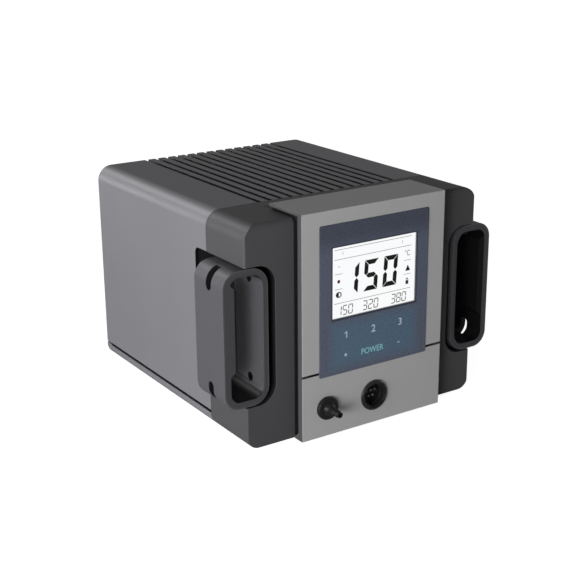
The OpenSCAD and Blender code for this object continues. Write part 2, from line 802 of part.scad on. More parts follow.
// Vacuum pump on its bracket, in line with the nozzle
tube_r = 3.8;
tube_start = front_y + nozzle_shank_len + 1;
pump_y = pocket_rear + 2;
pump_head_size = [40, 30, 38];
pump_bracket_t = 2;
pump_low = tray_floor + pump_bracket_t;
pump_mid_z = pump_low + pump_head_size[2] / 2;
pump_stub_len = 8;
motor_r = 17;
motor_len = 52;
motor_y = pump_y + pump_head_size[1];

module air_tube() {
    color("#3a3f45") difference() {
        bar_y(nozzle_x, tube_start, z0 + nozzle_z, tube_r, pump_y - tube_start - lie_gap);
        bar_y(nozzle_x, tube_start - cut, z0 + nozzle_z, nozzle_d / 2 + grip_gap, pump_y - tube_start + 2 * cut);
    }
}

// Pump head with its valve covers and the stub for the tube
module pump_head() {
    color("#6b6e72") difference() {
        union() {
            block([nozzle_x - pump_head_size[0] / 2, pump_y, pump_low],
                [nozzle_x + pump_head_size[0] / 2, motor_y, pump_low + pump_head_size[2]]);
            bar_y(nozzle_x, pump_y - pump_stub_len, z0 + nozzle_z, nozzle_d / 2, pump_stub_len + cut);
            for (side = [-1, 1]) translate([nozzle_x + side * 10, pump_y + pump_head_size[1] / 2, pump_low + pump_head_size[2] - cut])
                cylinder(r = 8, h = 4 + cut);
        }
        bar_y(nozzle_x, pump_y - 2 * pump_stub_len, z0 + nozzle_z, nozzle_bore_r, 3 * pump_stub_len);
    }
}

module pump_motor() {
    color("#b4b7ba") union() {
        bar_y(nozzle_x, motor_y, pump_mid_z, motor_r, motor_len);
        bar_y(nozzle_x, motor_y + motor_len - cut, pump_mid_z, 6, 3 + cut);
    }
}

// Sheet bracket under the pump, with a saddle for the motor
module pump_bracket() {
    saddle_y = motor_y + motor_len * 0.55;
    color("#9a9da0") difference() {
        union() {
            block([nozzle_x - 24, pump_y - 2, tray_floor], [nozzle_x + 24, motor_y + motor_len, pump_low]);
            block([nozzle_x - 12, saddle_y, pump_low - cut], [nozzle_x + 12, saddle_y + 12, pump_mid_z - 10]);
        }
        bar_y(nozzle_x, motor_y - cut, pump_mid_z, motor_r + grip_gap, motor_len + 2 * cut);
    }
}

// Transformer with its laminated core, winding and fixing strap
core_size = [57, 30, 47.5];
core_leg = 19;
core_window = [9.5, 28.5];
core_x = 34;
core_y = pocket_rear + 24;
core_low = tray_floor + 0.02;
winding_out = 9;
strap_t = 1.5;
strap_foot = 9;

module transformer_core() {
    low = core_low;
    color("#6f6a64") along_y(core_y, core_size[1]) difference() {
        translate([core_x - core_size[0] / 2, low]) square([core_size[0], core_size[2]]);
        for (side = [-1, 1])
            translate([core_x + side * (core_leg + core_window[0]) / 2 - core_window[0] / 2, low + (core_size[2] - core_window[1]) / 2])
                square(core_window);
    }
}

module transformer_winding() {
    half_x = core_leg / 2 + core_window[0] - lie_gap;
    low = core_low + (core_size[2] - core_window[1]) / 2 + lie_gap;
    color("#b98a3a") translate([0, 0, low]) linear_extrude(height = core_window[1] - 2 * lie_gap) difference() {
        rounded([core_x - half_x, core_y - winding_out], [core_x + half_x, core_y + core_size[1] + winding_out], 3);
        translate([core_x - core_leg / 2 - grip_gap, core_y - grip_gap])
            square([core_leg + 2 * grip_gap, core_size[1] + 2 * grip_gap]);
    }
}

module transformer_strap() {
    half_x = core_size[0] / 2 + grip_gap;
    top = core_low + core_size[2] + grip_gap;
    color("#9a9da0") difference() {
        along_y(core_y + 5, core_size[1] - 10) difference() {
            union() {
                translate([core_x - half_x - strap_t, tray_floor]) square([2 * half_x + 2 * strap_t, top + strap_t - tray_floor]);
                translate([core_x - half_x - strap_t - strap_foot, tray_floor])
                    square([2 * (half_x + strap_t + strap_foot), strap_t]);
            }
            translate([core_x - half_x, tray_floor - cut]) square([2 * half_x, top - tray_floor + cut]);
        }
        for (side = [-1, 1])
            translate([core_x + side * (half_x + strap_t + strap_foot / 2), core_y + core_size[1] / 2, tray_floor - cut])
                cylinder(r = screw_r + hole_gap, h = strap_t + 2 * cut);
    }
}

// Main board on the back of the bulkhead
main_y = bay_y + wall + standoff_h;
main_half = standoff_x + 6;
main_low = standoff_z[0] - 6;
main_top = standoff_z[1] + 6;

// Sizes of its parts: the terminal block, capacitors, heat sink, relay and plug strip
terminal_d = 12;
terminal_h = 14;
capacitor_r = 5;
capacitor_len = 15;
capacitor_pitch = 12;
sink_fin_t = 1.2;
sink_fin_pitch = 5;
sink_h = 24;
sink_low = main_low + 32;
relay_size = [28, 11, 14];
strip_size = [60, 8, 7];

module main_board() {
    back = main_y + board_t;
    color("#1f5a3a") difference() {
        union() {
            block([-main_half, main_y, main_low], [main_half, back, main_top]);
            block([-main_half + board_edge, back - cut, main_top - 2 * terminal_h],
                [-board_edge, back + terminal_d, main_top - terminal_h]);
            for (i = [0 : 2]) bar_y(2 * board_edge + i * capacitor_pitch, back - cut, main_top - 4 * capacitor_r,
                capacitor_r, capacitor_len);
            for (i = [1 : 5]) block([-main_half + (i + 1) * sink_fin_pitch, back - cut, sink_low],
                [-main_half + (i + 1) * sink_fin_pitch + sink_fin_t, back + terminal_h, sink_low + sink_h]);
            block([-main_half + 2 * sink_fin_pitch - 2, back - cut, sink_low - sink_fin_t],
                [-main_half + 6 * sink_fin_pitch + 2 * sink_fin_t + 1, back + 2 * sink_fin_t, sink_low + sink_h + sink_fin_t]);
            block([board_edge, back - cut, main_low + relay_size[0]],
                [board_edge + relay_size[0], back + relay_size[1], main_low + relay_size[0] + relay_size[2]]);
            block([-strip_size[0] / 2, back - cut, main_low + plug_t],
                [strip_size[0] / 2, back + strip_size[1], main_low + plug_t + strip_size[2]]);
        }
        both_sides() for (z = standoff_z) bar_y(standoff_x, main_y - cut, z, screw_r + hole_gap, board_t + 2 * cut);
    }
}

module board_screws() {
    color("#b8bbbe") both_sides() for (z = standoff_z)
        translate([standoff_x, main_y + board_t, z]) rotate([90, 0, 0]) pan_screw(board_t + standoff_h - cut);
}

// Mains inlet with its fuse drawer, given from the inlet's middle
inlet_body_size = [27.4, 32];
inlet_flange = [31, 37];
inlet_flange_t = 2.2;
inlet_depth = 22;
cavity_size = [24.4, 17];
cavity_mid = -5;
cavity_depth = 17;
drawer_size = [21, 8];
drawer_mid = 11.4;
drawer_depth = 17;
drawer_face_t = 1.6;
blade = [2, 4];
blade_places = [[-7, -2.2], [7, -2.2], [0, 2]];
mouth_y = rear_face + inlet_flange_t;
fuse_r = 2.6;
fuse_len = 18;
inlet_mid_z = z0 + inlet_z;

// Rectangle across X and Z round the inlet's middle, moved up by mid
module inlet_rect(size, mid) {
    translate([inlet_x - size[0] / 2, inlet_mid_z + mid - size[1] / 2]) square(size);
}

module blades(grow, y, d) {
    for (p = blade_places) along_y(y, d)
        translate([inlet_x + p[0] - blade[0] / 2 - grow, inlet_mid_z + cavity_mid + p[1] - blade[1] / 2 - grow])
            square([blade[0] + 2 * grow, blade[1] + 2 * grow]);
}

module inlet_body() {
    color("#151517") difference() {
        union() {
            along_y(mouth_y - inlet_depth, inlet_depth) inlet_rect(inlet_body_size, 0);
            along_y(rear_face, inlet_flange_t) inlet_rect(inlet_flange, 0);
        }
        along_y(mouth_y - cavity_depth, cavity_depth + cut) difference() {
            inlet_rect(cavity_size, cavity_mid);
            for (side = [-1, 1]) translate([inlet_x + side * cavity_size[0] / 2, inlet_mid_z + cavity_mid + cavity_size[1] / 2])
                rotate(45) square([7, 7], center = true);
        }
        along_y(mouth_y - drawer_depth - lie_gap, drawer_depth + lie_gap + cut)
            inlet_rect([drawer_size[0] + 2 * lie_gap, drawer_size[1] + 2 * lie_gap], drawer_mid);
        blades(grip_gap, mouth_y - inlet_depth - cut, inlet_depth);
    }
}

module inlet_pins() {
    color("#c9cacc") blades(0, mouth_y - inlet_depth - 8, inlet_depth + 8 - 2.5);
}

// Drawer that slides out to the back, with a trough for the fuse
module fuse_drawer() {
    color("#1b1b1d") difference() {
        union() {
            along_y(mouth_y - drawer_depth, drawer_depth + drawer_face_t) inlet_rect(drawer_size, drawer_mid);
            along_y(mouth_y + lie_gap, drawer_face_t) inlet_rect([drawer_size[0] + 3, drawer_size[1]], drawer_mid);
        }
        fuse_trough();
        along_y(mouth_y + drawer_face_t - 0.4, 2 * cut) inlet_rect([8, 1.4], drawer_mid + 1.6);
    }
}

fuse_y = mouth_y - drawer_depth / 2;

module fuse_trough() {
    block([inlet_x - fuse_len / 2 - grip_gap, fuse_y - fuse_r - grip_gap, inlet_mid_z + drawer_mid - fuse_r],
        [inlet_x + fuse_len / 2 + grip_gap, fuse_y + fuse_r + grip_gap, inlet_mid_z + drawer_mid + drawer_size[1]]);
}

module fuse() {
    color("#d6d9dc") bar_x(inlet_x - fuse_len / 2, fuse_y, inlet_mid_z + drawer_mid + grip_gap, fuse_r, fuse_len);
}

// Power switch above the inlet
switch_z = inlet_mid_z + switch_rise;
switch_body_size = [13.2, 19.4];
switch_flange = [15.4, 21.6];
switch_flange_t = 1.8;
switch_depth = 18;
rocker_size = [10, 17];
rocker_well = [10.8, 18];
well_depth = 11;
pivot_y = rear_face - 1.5;
pivot_r = 1;
pivot_gap = 0.04;
rocker_tip = 4.6;
rocker_dip = 2.4;

module switch_rect(size) {
    translate([inlet_x - size[0] / 2, switch_z - size[1] / 2]) square(size);
}

module switch_body() {
    face = rear_face + switch_flange_t;
    color("#151517") difference() {
        union() {
            along_y(face - switch_depth, switch_depth) switch_rect(switch_body_size);
            along_y(rear_face, switch_flange_t) switch_rect(switch_flange);
            for (z = [-6, 0, 6]) block([inlet_x - 2.4, face - switch_depth - 7, switch_z + z - 0.4],
                [inlet_x + 2.4, face - switch_depth + cut, switch_z + z + 0.4]);
        }
        along_y(face - well_depth, well_depth + cut) switch_rect(rocker_well);
        bar_x(inlet_x - switch_body_size[0] / 2 + 0.3, pivot_y, switch_z, pivot_r + grip_gap, switch_body_size[0] - 0.6);
    }
}

// Rocker, tipped into its off position about the pivot
module rocker() {
    half = rocker_size[1] / 2;
    color("#1d1d1f") translate([0, pivot_y, switch_z]) rotate([-rocker_swing / 2, 0, 0]) difference() {
        along_x(inlet_x - rocker_size[0] / 2, rocker_size[0])
            polygon([[rocker_tip, half - 0.9], [rocker_dip, 0], [rocker_tip, -half + 0.9], [rocker_tip - 1.6, -half + 0.4],
                [-2, -half + 3.5], [-4, 0], [-2, half - 3.5], [rocker_tip - 1.6, half - 0.4]]);
        bar_x(inlet_x - rocker_size[0], 0, 0, pivot_r + pivot_gap, 2 * rocker_size[0]);
    }
}

module rocker_pivot() {
    color("#c9cacc") bar_x(inlet_x - switch_body_size[0] / 2 + 0.32, pivot_y, switch_z, pivot_r, switch_body_size[0] - 0.64);
}

// Vent slots of the rear panel
rear_slot = [46, 2.4];
rear_slot_count = 8;
rear_slot_pitch = 6;
rear_slot_x = -36;
rear_slot_z = z0 + 48;

// Sheet panel that closes the back
module rear_panel() {
    low = tray_floor;
    color("#2b2b2d") along_y(rear_inner, rear_t) difference() {
        arch(body_w - 2 * wall - 2 * lie_gap, low, top_z - wall - lie_gap, base_r - wall, corner_r - wall);
        inlet_rect([inlet_body_size[0] + lie_gap, inlet_body_size[1] + lie_gap], 0);
        switch_rect([switch_body_size[0] + lie_gap, switch_body_size[1] + lie_gap]);
        for (side = [-1, 1], p = rear_screw_places) translate([side * p[0], p[1]]) circle(screw_r + hole_gap);
        for (i = [0 : rear_slot_count - 1]) translate([rear_slot_x - rear_slot[0] / 2, rear_slot_z + i * rear_slot_pitch])
            square(rear_slot);
    }
}

module rear_screws() {
    color("#b8bbbe") both_sides() for (p = rear_screw_places)
        translate([p[0], rear_face, p[1]]) rotate([90, 0, 0]) pan_screw(rear_t + rear_boss_len - wall - cut);
}

wrap_cover();
base_tray();
rear_panel();
front_frame();
panel_core();
upper_bezel();
lower_bezel();
touch_overlay();
display_window();
lcd_module();
display_board();
display_screws();
handle_left();
handle_right();
handle_screws();
socket_ring();
socket_shell();
socket_insert();
socket_pins();
socket_nut();
hose_nozzle();
nozzle_nut();
air_tube();
main_board();
board_screws();
transformer_core();
transformer_winding();
transformer_strap();
pump_head();
pump_motor();
pump_bracket();
inlet_body();
inlet_pins();
fuse_drawer();
fuse();
switch_body();
rocker();
rocker_pivot();
rear_screws();
base_screws();
frame_screws();
feet();
foot_screws();
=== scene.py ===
import bpy
import bmesh
import math
import numpy as np
from mathutils import Matrix, Vector


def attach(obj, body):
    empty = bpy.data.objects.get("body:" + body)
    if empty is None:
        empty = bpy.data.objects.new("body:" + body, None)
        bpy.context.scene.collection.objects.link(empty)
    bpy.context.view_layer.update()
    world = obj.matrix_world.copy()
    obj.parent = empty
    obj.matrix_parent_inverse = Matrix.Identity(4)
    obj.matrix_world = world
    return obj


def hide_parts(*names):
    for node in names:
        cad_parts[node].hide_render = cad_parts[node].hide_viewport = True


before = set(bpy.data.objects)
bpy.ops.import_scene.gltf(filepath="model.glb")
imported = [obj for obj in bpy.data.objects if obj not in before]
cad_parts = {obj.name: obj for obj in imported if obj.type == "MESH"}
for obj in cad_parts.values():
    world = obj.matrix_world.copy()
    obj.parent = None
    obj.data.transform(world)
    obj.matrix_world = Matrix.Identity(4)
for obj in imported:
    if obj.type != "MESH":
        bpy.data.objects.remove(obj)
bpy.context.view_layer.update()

# Photographer's place: a tripod to the left of the front and a little above the top. The angles
# and the focal length come from the vanishing lines of the housing, so the frame needs no shift.
MM = 0.001
tripod = (-412.04 * MM, -623.52 * MM, 311.44 * MM)
turned_right = math.radians(33.279)
tipped_down = math.radians(18.172)
rolled = math.radians(-0.487)
level = math.radians(90)
sensor_mm = 36.0
focal_pixels = 1188.42
frame_pixels = 572
nearest = 20 * MM

camera = bpy.data.objects.new("camera", bpy.data.cameras.new("camera"))
camera.data.sensor_fit = "HORIZONTAL"
camera.data.sensor_width = sensor_mm
camera.data.lens = focal_pixels / frame_pixels * sensor_mm
camera.data.clip_start = nearest
camera.matrix_world = (Matrix.Translation(tripod)
                       @ Matrix.Rotation(-turned_right, 4, "Z")
                       @ Matrix.Rotation(level - tipped_down, 4, "X")
                       @ Matrix.Rotation(rolled, 4, "Z"))
bpy.context.scene.collection.objects.link(camera)
bpy.context.scene.camera = camera


# Studio: wide softboxes light the left, right and rear, a small hard lamp beside the camera draws
# the thin shadows in front, and a strip over the rear edge is there for the gloss only. The camera
# and clear pieces see a white room, the gloss sees it at a third, as the dark top shows.
def srgb(code):
    """Colour of a sample card: the hex code's three channels, turned from sRGB to linear by the
    standard curve, which is straight at its dark end and a power of 2.4 above that."""
    v = np.array([int(code[i:i + 2], 16) for i in (1, 3, 5)]) / 255
    return (*np.where(v <= 0.04045, v / 12.92, ((v + 0.055) / 1.055) ** 2.4).tolist(), 1.0)


def add(tree, kind, inputs=None, **settings):
    """Adds one shader node, sets its settings, and fills its inputs with values or links."""
    made = tree.nodes.new("ShaderNode" + kind)
    for key, value in settings.items():
        setattr(made, key, value)
    for key, value in (inputs or {}).items():
        if isinstance(value, bpy.types.NodeSocket):
            tree.links.new(value, made.inputs[key])
        else:
            made.inputs[key].default_value = value
    return made


housing_middle = Vector((0, 0, 70 * MM))


def softbox(name, bearing, height, distance, size, watts, gloss_only=False):
    """A lamp of that width and height in metres, aimed at the middle of the housing. Its bearing
    counts from the front towards the right, and its height from the horizon, both in degrees. With
    gloss_only it is seen by the gloss and lights nothing else."""
    turn = math.radians(bearing)
    rise = math.radians(height)
    away = Vector((math.sin(turn) * math.cos(rise), -math.cos(turn) * math.cos(rise), math.sin(rise)))
    lamp = bpy.data.lights.new(name, "AREA")
    lamp.shape = "RECTANGLE"
    lamp.energy = watts
    lamp.size, lamp.size_y = size
    stand = bpy.data.objects.new(name, lamp)
    stand.location = away * distance + housing_middle
    stand.rotation_euler = away.to_track_quat("Z", "Y").to_euler()
    stand.visible_diffuse = not gloss_only
    bpy.context.scene.collection.objects.link(stand)


softbox("left_softbox", bearing=-71, height=6, distance=1.6, size=(1.2, 0.5), watts=19.5)
softbox("camera_lamp", bearing=-48, height=9, distance=1.0, size=(0.25, 0.25), watts=2.5)
softbox("right_softbox", bearing=97, height=2, distance=1.8, size=(1.0, 0.3), watts=16)
softbox("rear_softbox", bearing=-168, height=2, distance=1.8, size=(1.0, 0.3), watts=9)
softbox("edge_strip", bearing=-160, height=33, distance=1.6, size=(0.6, 0.2), watts=6, gloss_only=True)

room_in_view, room_in_gloss, room_fill = 1.0, 0.33, 0.06
room = bpy.data.worlds.new("pale_room")
room.use_nodes = True
room_tree = room.node_tree
room_tree.nodes.clear()
seen = add(room_tree, "LightPath")
in_view = add(room_tree, "Math", {0: seen.outputs["Is Camera Ray"],
                                  1: seen.outputs["Is Transmission Ray"]}, operation="MAXIMUM")
fill = add(room_tree, "Background", {"Color": srgb("#ffffff"), "Strength": room_fill})
mirrored = add(room_tree, "Background", {"Color": srgb("#ffffff"), "Strength": room_in_gloss})
white = add(room_tree, "Background", {"Color": srgb("#ffffff"), "Strength": room_in_view})
dim = add(room_tree, "MixShader", {0: seen.outputs["Is Glossy Ray"],
                                   1: fill.outputs[0], 2: mirrored.outputs[0]})
room_light = add(room_tree, "MixShader", {0: in_view.outputs[0],
                                          1: dim.outputs[0], 2: white.outputs[0]})
add(room_tree, "OutputWorld", {"Surface": room_light.outputs[0]})
bpy.context.scene.world = room
bpy.context.scene.view_settings.view_transform = "Standard"

# The floor is a sweep of matt white paper. For the camera alone it also glows, a little more with
# its distance, so that it comes out white and keeps the object's shadow.
floor_half = 6.0
near_by, near_glow = 0.4, 0.9
far_off, far_glow = 1.6, 1.0
floor_mesh = bpy.data.meshes.new("floor")
floor_mesh.from_pydata([(-floor_half, -floor_half, 0), (floor_half, -floor_half, 0),
                        (floor_half, floor_half, 0), (-floor_half, floor_half, 0)], [], [(0, 1, 2, 3)])
floor = bpy.data.objects.new("floor", floor_mesh)
bpy.context.scene.collection.objects.link(floor)
paper = bpy.data.materials.new("white_paper_sweep")
paper.use_nodes = True
paper_tree = paper.node_tree
paper_tree.nodes.clear()
paper_seen = add(paper_tree, "LightPath")
paper_look = add(paper_tree, "BsdfDiffuse", {"Color": srgb("#e2e2e2")})
paper_place = add(paper_tree, "TexCoord").outputs["Object"]
paper_away = add(paper_tree, "VectorMath", {0: paper_place}, operation="LENGTH").outputs["Value"]
paper_white = add(paper_tree, "MapRange", {0: paper_away, 1: near_by, 2: far_off,
                                           3: near_glow, 4: far_glow})
paper_glow = add(paper_tree, "Emission", {"Color": srgb("#ffffff"), "Strength": paper_white.outputs[0]})
paper_sum = add(paper_tree, "AddShader", {0: paper_look.outputs[0], 1: paper_glow.outputs[0]})
paper_mix = add(paper_tree, "MixShader", {0: paper_seen.outputs["Is Camera Ray"],
                                          1: paper_look.outputs[0], 2: paper_sum.outputs[0]})
add(paper_tree, "OutputMaterial", {"Surface": paper_mix.outputs[0]})
floor_mesh.materials.append(paper)


# Base tray and wrap cover: ABS mouldings with the fine satin grain that spark erosion leaves in
# the mould. Inside they are painted black, as painted shade. The cover lies on the tray, held by screws
# from below.
def grained(name, colour, grain_mm, roughness, lift_mm, tone=0.05, gloss=0.5):
    """Moulded or printed surface. Noise on the piece's own millimetres makes the grain: it lifts
    the surface by lift_mm and shifts the roughness, and a slow cloud shifts the colour by the share
    called tone. Real grain is about a tenth of a millimetre wide, finer than the picture can show,
    so grain_mm draws it several times coarser."""
    cloud_mm = 40
    satin_spread = 0.06
    grain_share = 0.7
    plastic_ior = 1.5
    mat = bpy.data.materials.new(name)
    mat.use_nodes = True
    tree = mat.node_tree
    bsdf = tree.nodes["Principled BSDF"]
    place = add(tree, "TexCoord").outputs["Object"]
    cloud = add(tree, "TexNoise", {"Vector": place, "Scale": 1000 / cloud_mm, "Detail": 4.0})
    grain = add(tree, "TexNoise", {"Vector": place, "Scale": 1000 / grain_mm, "Detail": 2.0})
    base = np.array(srgb(colour))[:3]
    darker, lighter = (*(base * (1 - tone)), 1), (*(base * (1 + tone)), 1)
    shade = add(tree, "Mix", {0: cloud.outputs["Fac"], 6: darker, 7: lighter}, data_type="RGBA")
    satin = add(tree, "MapRange", {0: grain.outputs["Fac"], 3: roughness - satin_spread,
                                   4: roughness + satin_spread})
    bump = add(tree, "Bump", {"Height": grain.outputs["Fac"], "Distance": lift_mm * MM,
                              "Strength": grain_share})
    tree.links.new(shade.outputs[2], bsdf.inputs["Base Color"])
    tree.links.new(satin.outputs[0], bsdf.inputs["Roughness"])
    tree.links.new(bump.outputs[0], bsdf.inputs["Normal"])
    bsdf.inputs["IOR"].default_value = plastic_ior
    bsdf.inputs["Specular IOR Level"].default_value = gloss
    return mat


def halved_place(tree):
    """Place of a point with X made positive, so that one zone stands for both sides."""
    place = add(tree, "SeparateXYZ", {0: add(tree, "TexCoord").outputs["Object"]})
    right = add(tree, "Math", {0: place.outputs["X"]}, operation="ABSOLUTE")
    halved = add(tree, "CombineXYZ", {0: right.outputs[0], 1: place.outputs["Y"], 2: place.outputs["Z"]})
    return halved.outputs[0]


def zone(tree, low, high, fade=0.05):
    """1 inside a block between two corners in millimetres and 0 outside it, with a fade between:
    inside, each distance from the block's middle is less than half the block's size, so the
    largest of the three differences is below 0."""
    middle = (np.array(low) + high) / 2 * MM
    half = (np.array(high) - low) / 2 * MM
    from_middle = add(tree, "VectorMath", {0: halved_place(tree), 1: middle}, operation="SUBTRACT")
    size = add(tree, "VectorMath", {0: from_middle.outputs[0]}, operation="ABSOLUTE")
    over = add(tree, "VectorMath", {0: size.outputs[0], 1: half}, operation="SUBTRACT")
    axes = add(tree, "SeparateXYZ", {0: over.outputs[0]})
    pair = add(tree, "Math", {0: axes.outputs["X"], 1: axes.outputs["Y"]}, operation="MAXIMUM")
    most = add(tree, "Math", {0: pair.outputs[0], 1: axes.outputs["Z"]}, operation="MAXIMUM")
    step = add(tree, "MapRange", {0: most.outputs[0], 1: -fade * MM, 2: fade * MM, 3: 1.0, 4: 0.0})
    return step.outputs[0]


def deeper(tree, depth, x_range, z_range, radius, fade=0.04):
    """1 where a point lies more than a depth under a round-cornered outline across X and Z, all in
    millimetres. Its own depth is the radius less its distance to the outline's inner rectangle."""
    endless = 1e6
    middle = np.array((sum(x_range) / 2, 0, sum(z_range) / 2)) * MM
    size = np.array((x_range[1] - x_range[0], endless, z_range[1] - z_range[0])) * MM
    inner_half = size / 2 - radius * MM
    from_middle = add(tree, "VectorMath", {0: halved_place(tree), 1: middle}, operation="SUBTRACT")
    to_side = add(tree, "VectorMath", {0: from_middle.outputs[0]}, operation="ABSOLUTE")
    over = add(tree, "VectorMath", {0: to_side.outputs[0], 1: inner_half}, operation="SUBTRACT")
    outside = add(tree, "VectorMath", {0: over.outputs[0], 1: (0, 0, 0)}, operation="MAXIMUM")
    corner = add(tree, "VectorMath", {0: outside.outputs[0]}, operation="LENGTH").outputs["Value"]
    axes = add(tree, "SeparateXYZ", {0: over.outputs[0]})
    most = add(tree, "Math", {0: axes.outputs["X"], 1: axes.outputs["Z"]}, operation="MAXIMUM")
    inside = add(tree, "Math", {0: most.outputs[0], 1: 0.0}, operation="MINIMUM")
    away = add(tree, "Math", {0: corner, 1: inside.outputs[0]}, operation="ADD")
    edge = radius - depth
    step = add(tree, "MapRange", {0: away.outputs[0], 1: (edge - fade) * MM, 2: (edge + fade) * MM,
                                  3: 1.0, 4: 0.0})
    return step.outputs[0]


def painted(mat, colour, *zones):
    """Gives a material another colour where every one of the zones is 1: the colour's share is
    the product of the zones."""
    tree = mat.node_tree
    bsdf = tree.nodes["Principled BSDF"]
    share = zones[0]
    for other in zones[1:]:
        share = add(tree, "Math", {0: share, 1: other}, operation="MULTIPLY").outputs[0]
    old = bsdf.inputs["Base Color"].links[0].from_socket
    paint = add(tree, "Mix", {0: share, 6: old, 7: srgb(colour)}, data_type="RGBA")
    tree.links.new(paint.outputs[2], bsdf.inputs["Base Color"])


def fixed(piece, mat, nodes=(), body="housing"):
    """Puts a finished piece into the scene with its material, on its body and in place of nodes."""
    bpy.context.scene.collection.objects.link(piece)
    piece.data.materials.append(mat)
    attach(piece, body)
    if nodes:
        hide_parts(*nodes)


def softened(node, mat, edge_mm, body="housing", segments=3):
    """Copy of a CAD node with its edges rounded. The loose triangles are joined and the flat ones
    merged into whole faces, and then each edge sharper than 30 degrees becomes an arc of edge_mm.
    The largest faces lead the shading, so they stay flat right up to the arcs."""
    joined_within = 0.002 * MM
    flat_within = math.radians(0.5)
    sharper_than = math.radians(30)
    large_faces_lead = 90
    shape = bmesh.new()
    shape.from_mesh(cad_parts[node].data)
    bmesh.ops.remove_doubles(shape, verts=shape.verts, dist=joined_within)
    bmesh.ops.dissolve_limit(shape, angle_limit=flat_within, verts=shape.verts, edges=shape.edges)
    mesh = bpy.data.meshes.new(node + "_moulded")
    shape.to_mesh(mesh)
    shape.free()
    mesh.shade_smooth()
    piece = bpy.data.objects.new(node + "_moulded", mesh)
    arc = piece.modifiers.new("rounded_edges", "BEVEL")
    arc.width = edge_mm * MM
    arc.segments = segments
    arc.limit_method = "ANGLE"
    arc.angle_limit = sharper_than
    piece.modifiers.new("flat_faces_stay_flat", "WEIGHTED_NORMAL").weight = large_faces_lead
    fixed(piece, mat, (node,), body)


housing_half, housing_low, housing_top, housing_corner = 85, 3, 139, 10
wall_skin = 0.08
rear_rim_y = 105.5
seam_low, seam_high, seam_end_y = 11.7, 13.7, 99
painted_shade_black = "#0d0d0e"
# No piece reaches this far, so a zone that ends here is open to that side.
far = 300

# Grey ABS off a spark-eroded mould: the light spreads into a soft even sheen, and the grain only
# shows close by. All that lies under the skin is painted black, as painted shade on the slots' walls,
# and so is the seam low on the sides, as a painted shadow gap.
cover_plastic = grained("spark_grained_abs_grey", "#7f7f84", grain_mm=0.9, roughness=0.48,
                        lift_mm=0.03, gloss=0.4)
cover_tree = cover_plastic.node_tree
under_skin = deeper(cover_tree, wall_skin, (-housing_half, housing_half), (housing_low, housing_top),
                    housing_corner)
before_rim = zone(cover_tree, (-far, -far, -far), (far, rear_rim_y, far))
side_seam = zone(cover_tree, (-far, -far, seam_low), (far, seam_end_y, seam_high))
painted(cover_plastic, painted_shade_black, before_rim, under_skin)
painted(cover_plastic, painted_shade_black, side_seam)

# The slots in the top have black edges a quarter of a millimetre wide, painted shade: a point is
# black where it is nearer than slot_edge to the middle of a slot, anywhere in the row.
slot_pitch, slot_shift, slot_edge, edge_fade = 7.7, 2.2, 1.55, 0.05
row_half, row_front_y, top_low = 53.9, -60, 138
slot_middle = slot_shift - slot_pitch / 2
cover_x = add(cover_tree, "SeparateXYZ", {0: add(cover_tree, "TexCoord").outputs["Object"]}).outputs["X"]
from_slot = add(cover_tree, "Math", {0: cover_x, 1: slot_middle * MM}, operation="SUBTRACT")
to_slot = add(cover_tree, "Math", {0: from_slot.outputs[0], 1: slot_pitch / 2 * MM}, operation="PINGPONG")
by_slot = add(cover_tree, "MapRange", {0: to_slot.outputs[0], 1: (slot_edge - edge_fade) * MM,
                                       2: (slot_edge + edge_fade) * MM, 3: 1.0, 4: 0.0})
slot_row = zone(cover_tree, (-far, row_front_y, top_low), (row_half, far, far))
painted(cover_plastic, painted_shade_black, by_slot.outputs[0], slot_row)
softened("wrap_cover", cover_plastic, edge_mm=0.12, segments=2)
softened("base_tray", cover_plastic, edge_mm=0.4, segments=2)

# Front frame and panel core: charcoal ABS mouldings. The frame closes the cover in front and
# carries the handles in pockets, and the core is the tube that holds the bezels in the bay.
# Each hollow, painted darker as painted shade, is given by its lowest and its highest corner.
pocket = (64.2, -82.4, 29.4), (84.6, -20, 114.8)
bay = (-far, -82.8, 2.9), (50.4, -50, 138.9)
core_neck = (-far, -87.6, 2.9), (51.8, -50, 140.0)

# Charcoal ABS off a spark-eroded mould: darker and duller than the cover, with a weak sheen on
# its round corners. The hollows are painted darker again: painted shade in the pockets, the bay
# and the core's neck.
frame_plastic = grained("spark_grained_abs_charcoal", "#535355", grain_mm=0.9, roughness=0.5,
                        lift_mm=0.03, gloss=0.2)
for hollow in (pocket, bay, core_neck):
    painted(frame_plastic, "#242426", zone(frame_plastic.node_tree, *hollow))
softened("front_frame", frame_plastic, edge_mm=0.6)
softened("panel_core", frame_plastic, edge_mm=0.3)

# Upper and lower bezel: light grey ABS, smoother than the housing, with the sides left charcoal.
# They snap onto the core, and the seam between them stays open.
panel_half, side_skin = 52.5, 0.18
open_seam_low, open_seam_high, open_seam_back_y = 43.4, 44.9, -80

# Light grey satin ABS: an even, pale face with a slightly tighter sheen than the grained housing.
panel_plastic = grained("satin_abs_light_grey", "#bebebe", grain_mm=0.7, roughness=0.42,
                        lift_mm=0.015, tone=0.03)
panel_tree = panel_plastic.node_tree
panel_side = zone(panel_tree, (panel_half - side_skin, -far, -far), (far, far, far))
open_seam = zone(panel_tree, (-far, -far, open_seam_low), (far, open_seam_back_y, open_seam_high))
painted(panel_plastic, "#525254", panel_side)
# The open seam's faces are painted near black: painted shade in the gap.
painted(panel_plastic, "#1a1a1b", open_seam)
softened("upper_bezel", panel_plastic, edge_mm=0.3)
softened("lower_bezel", panel_plastic, edge_mm=0.3)

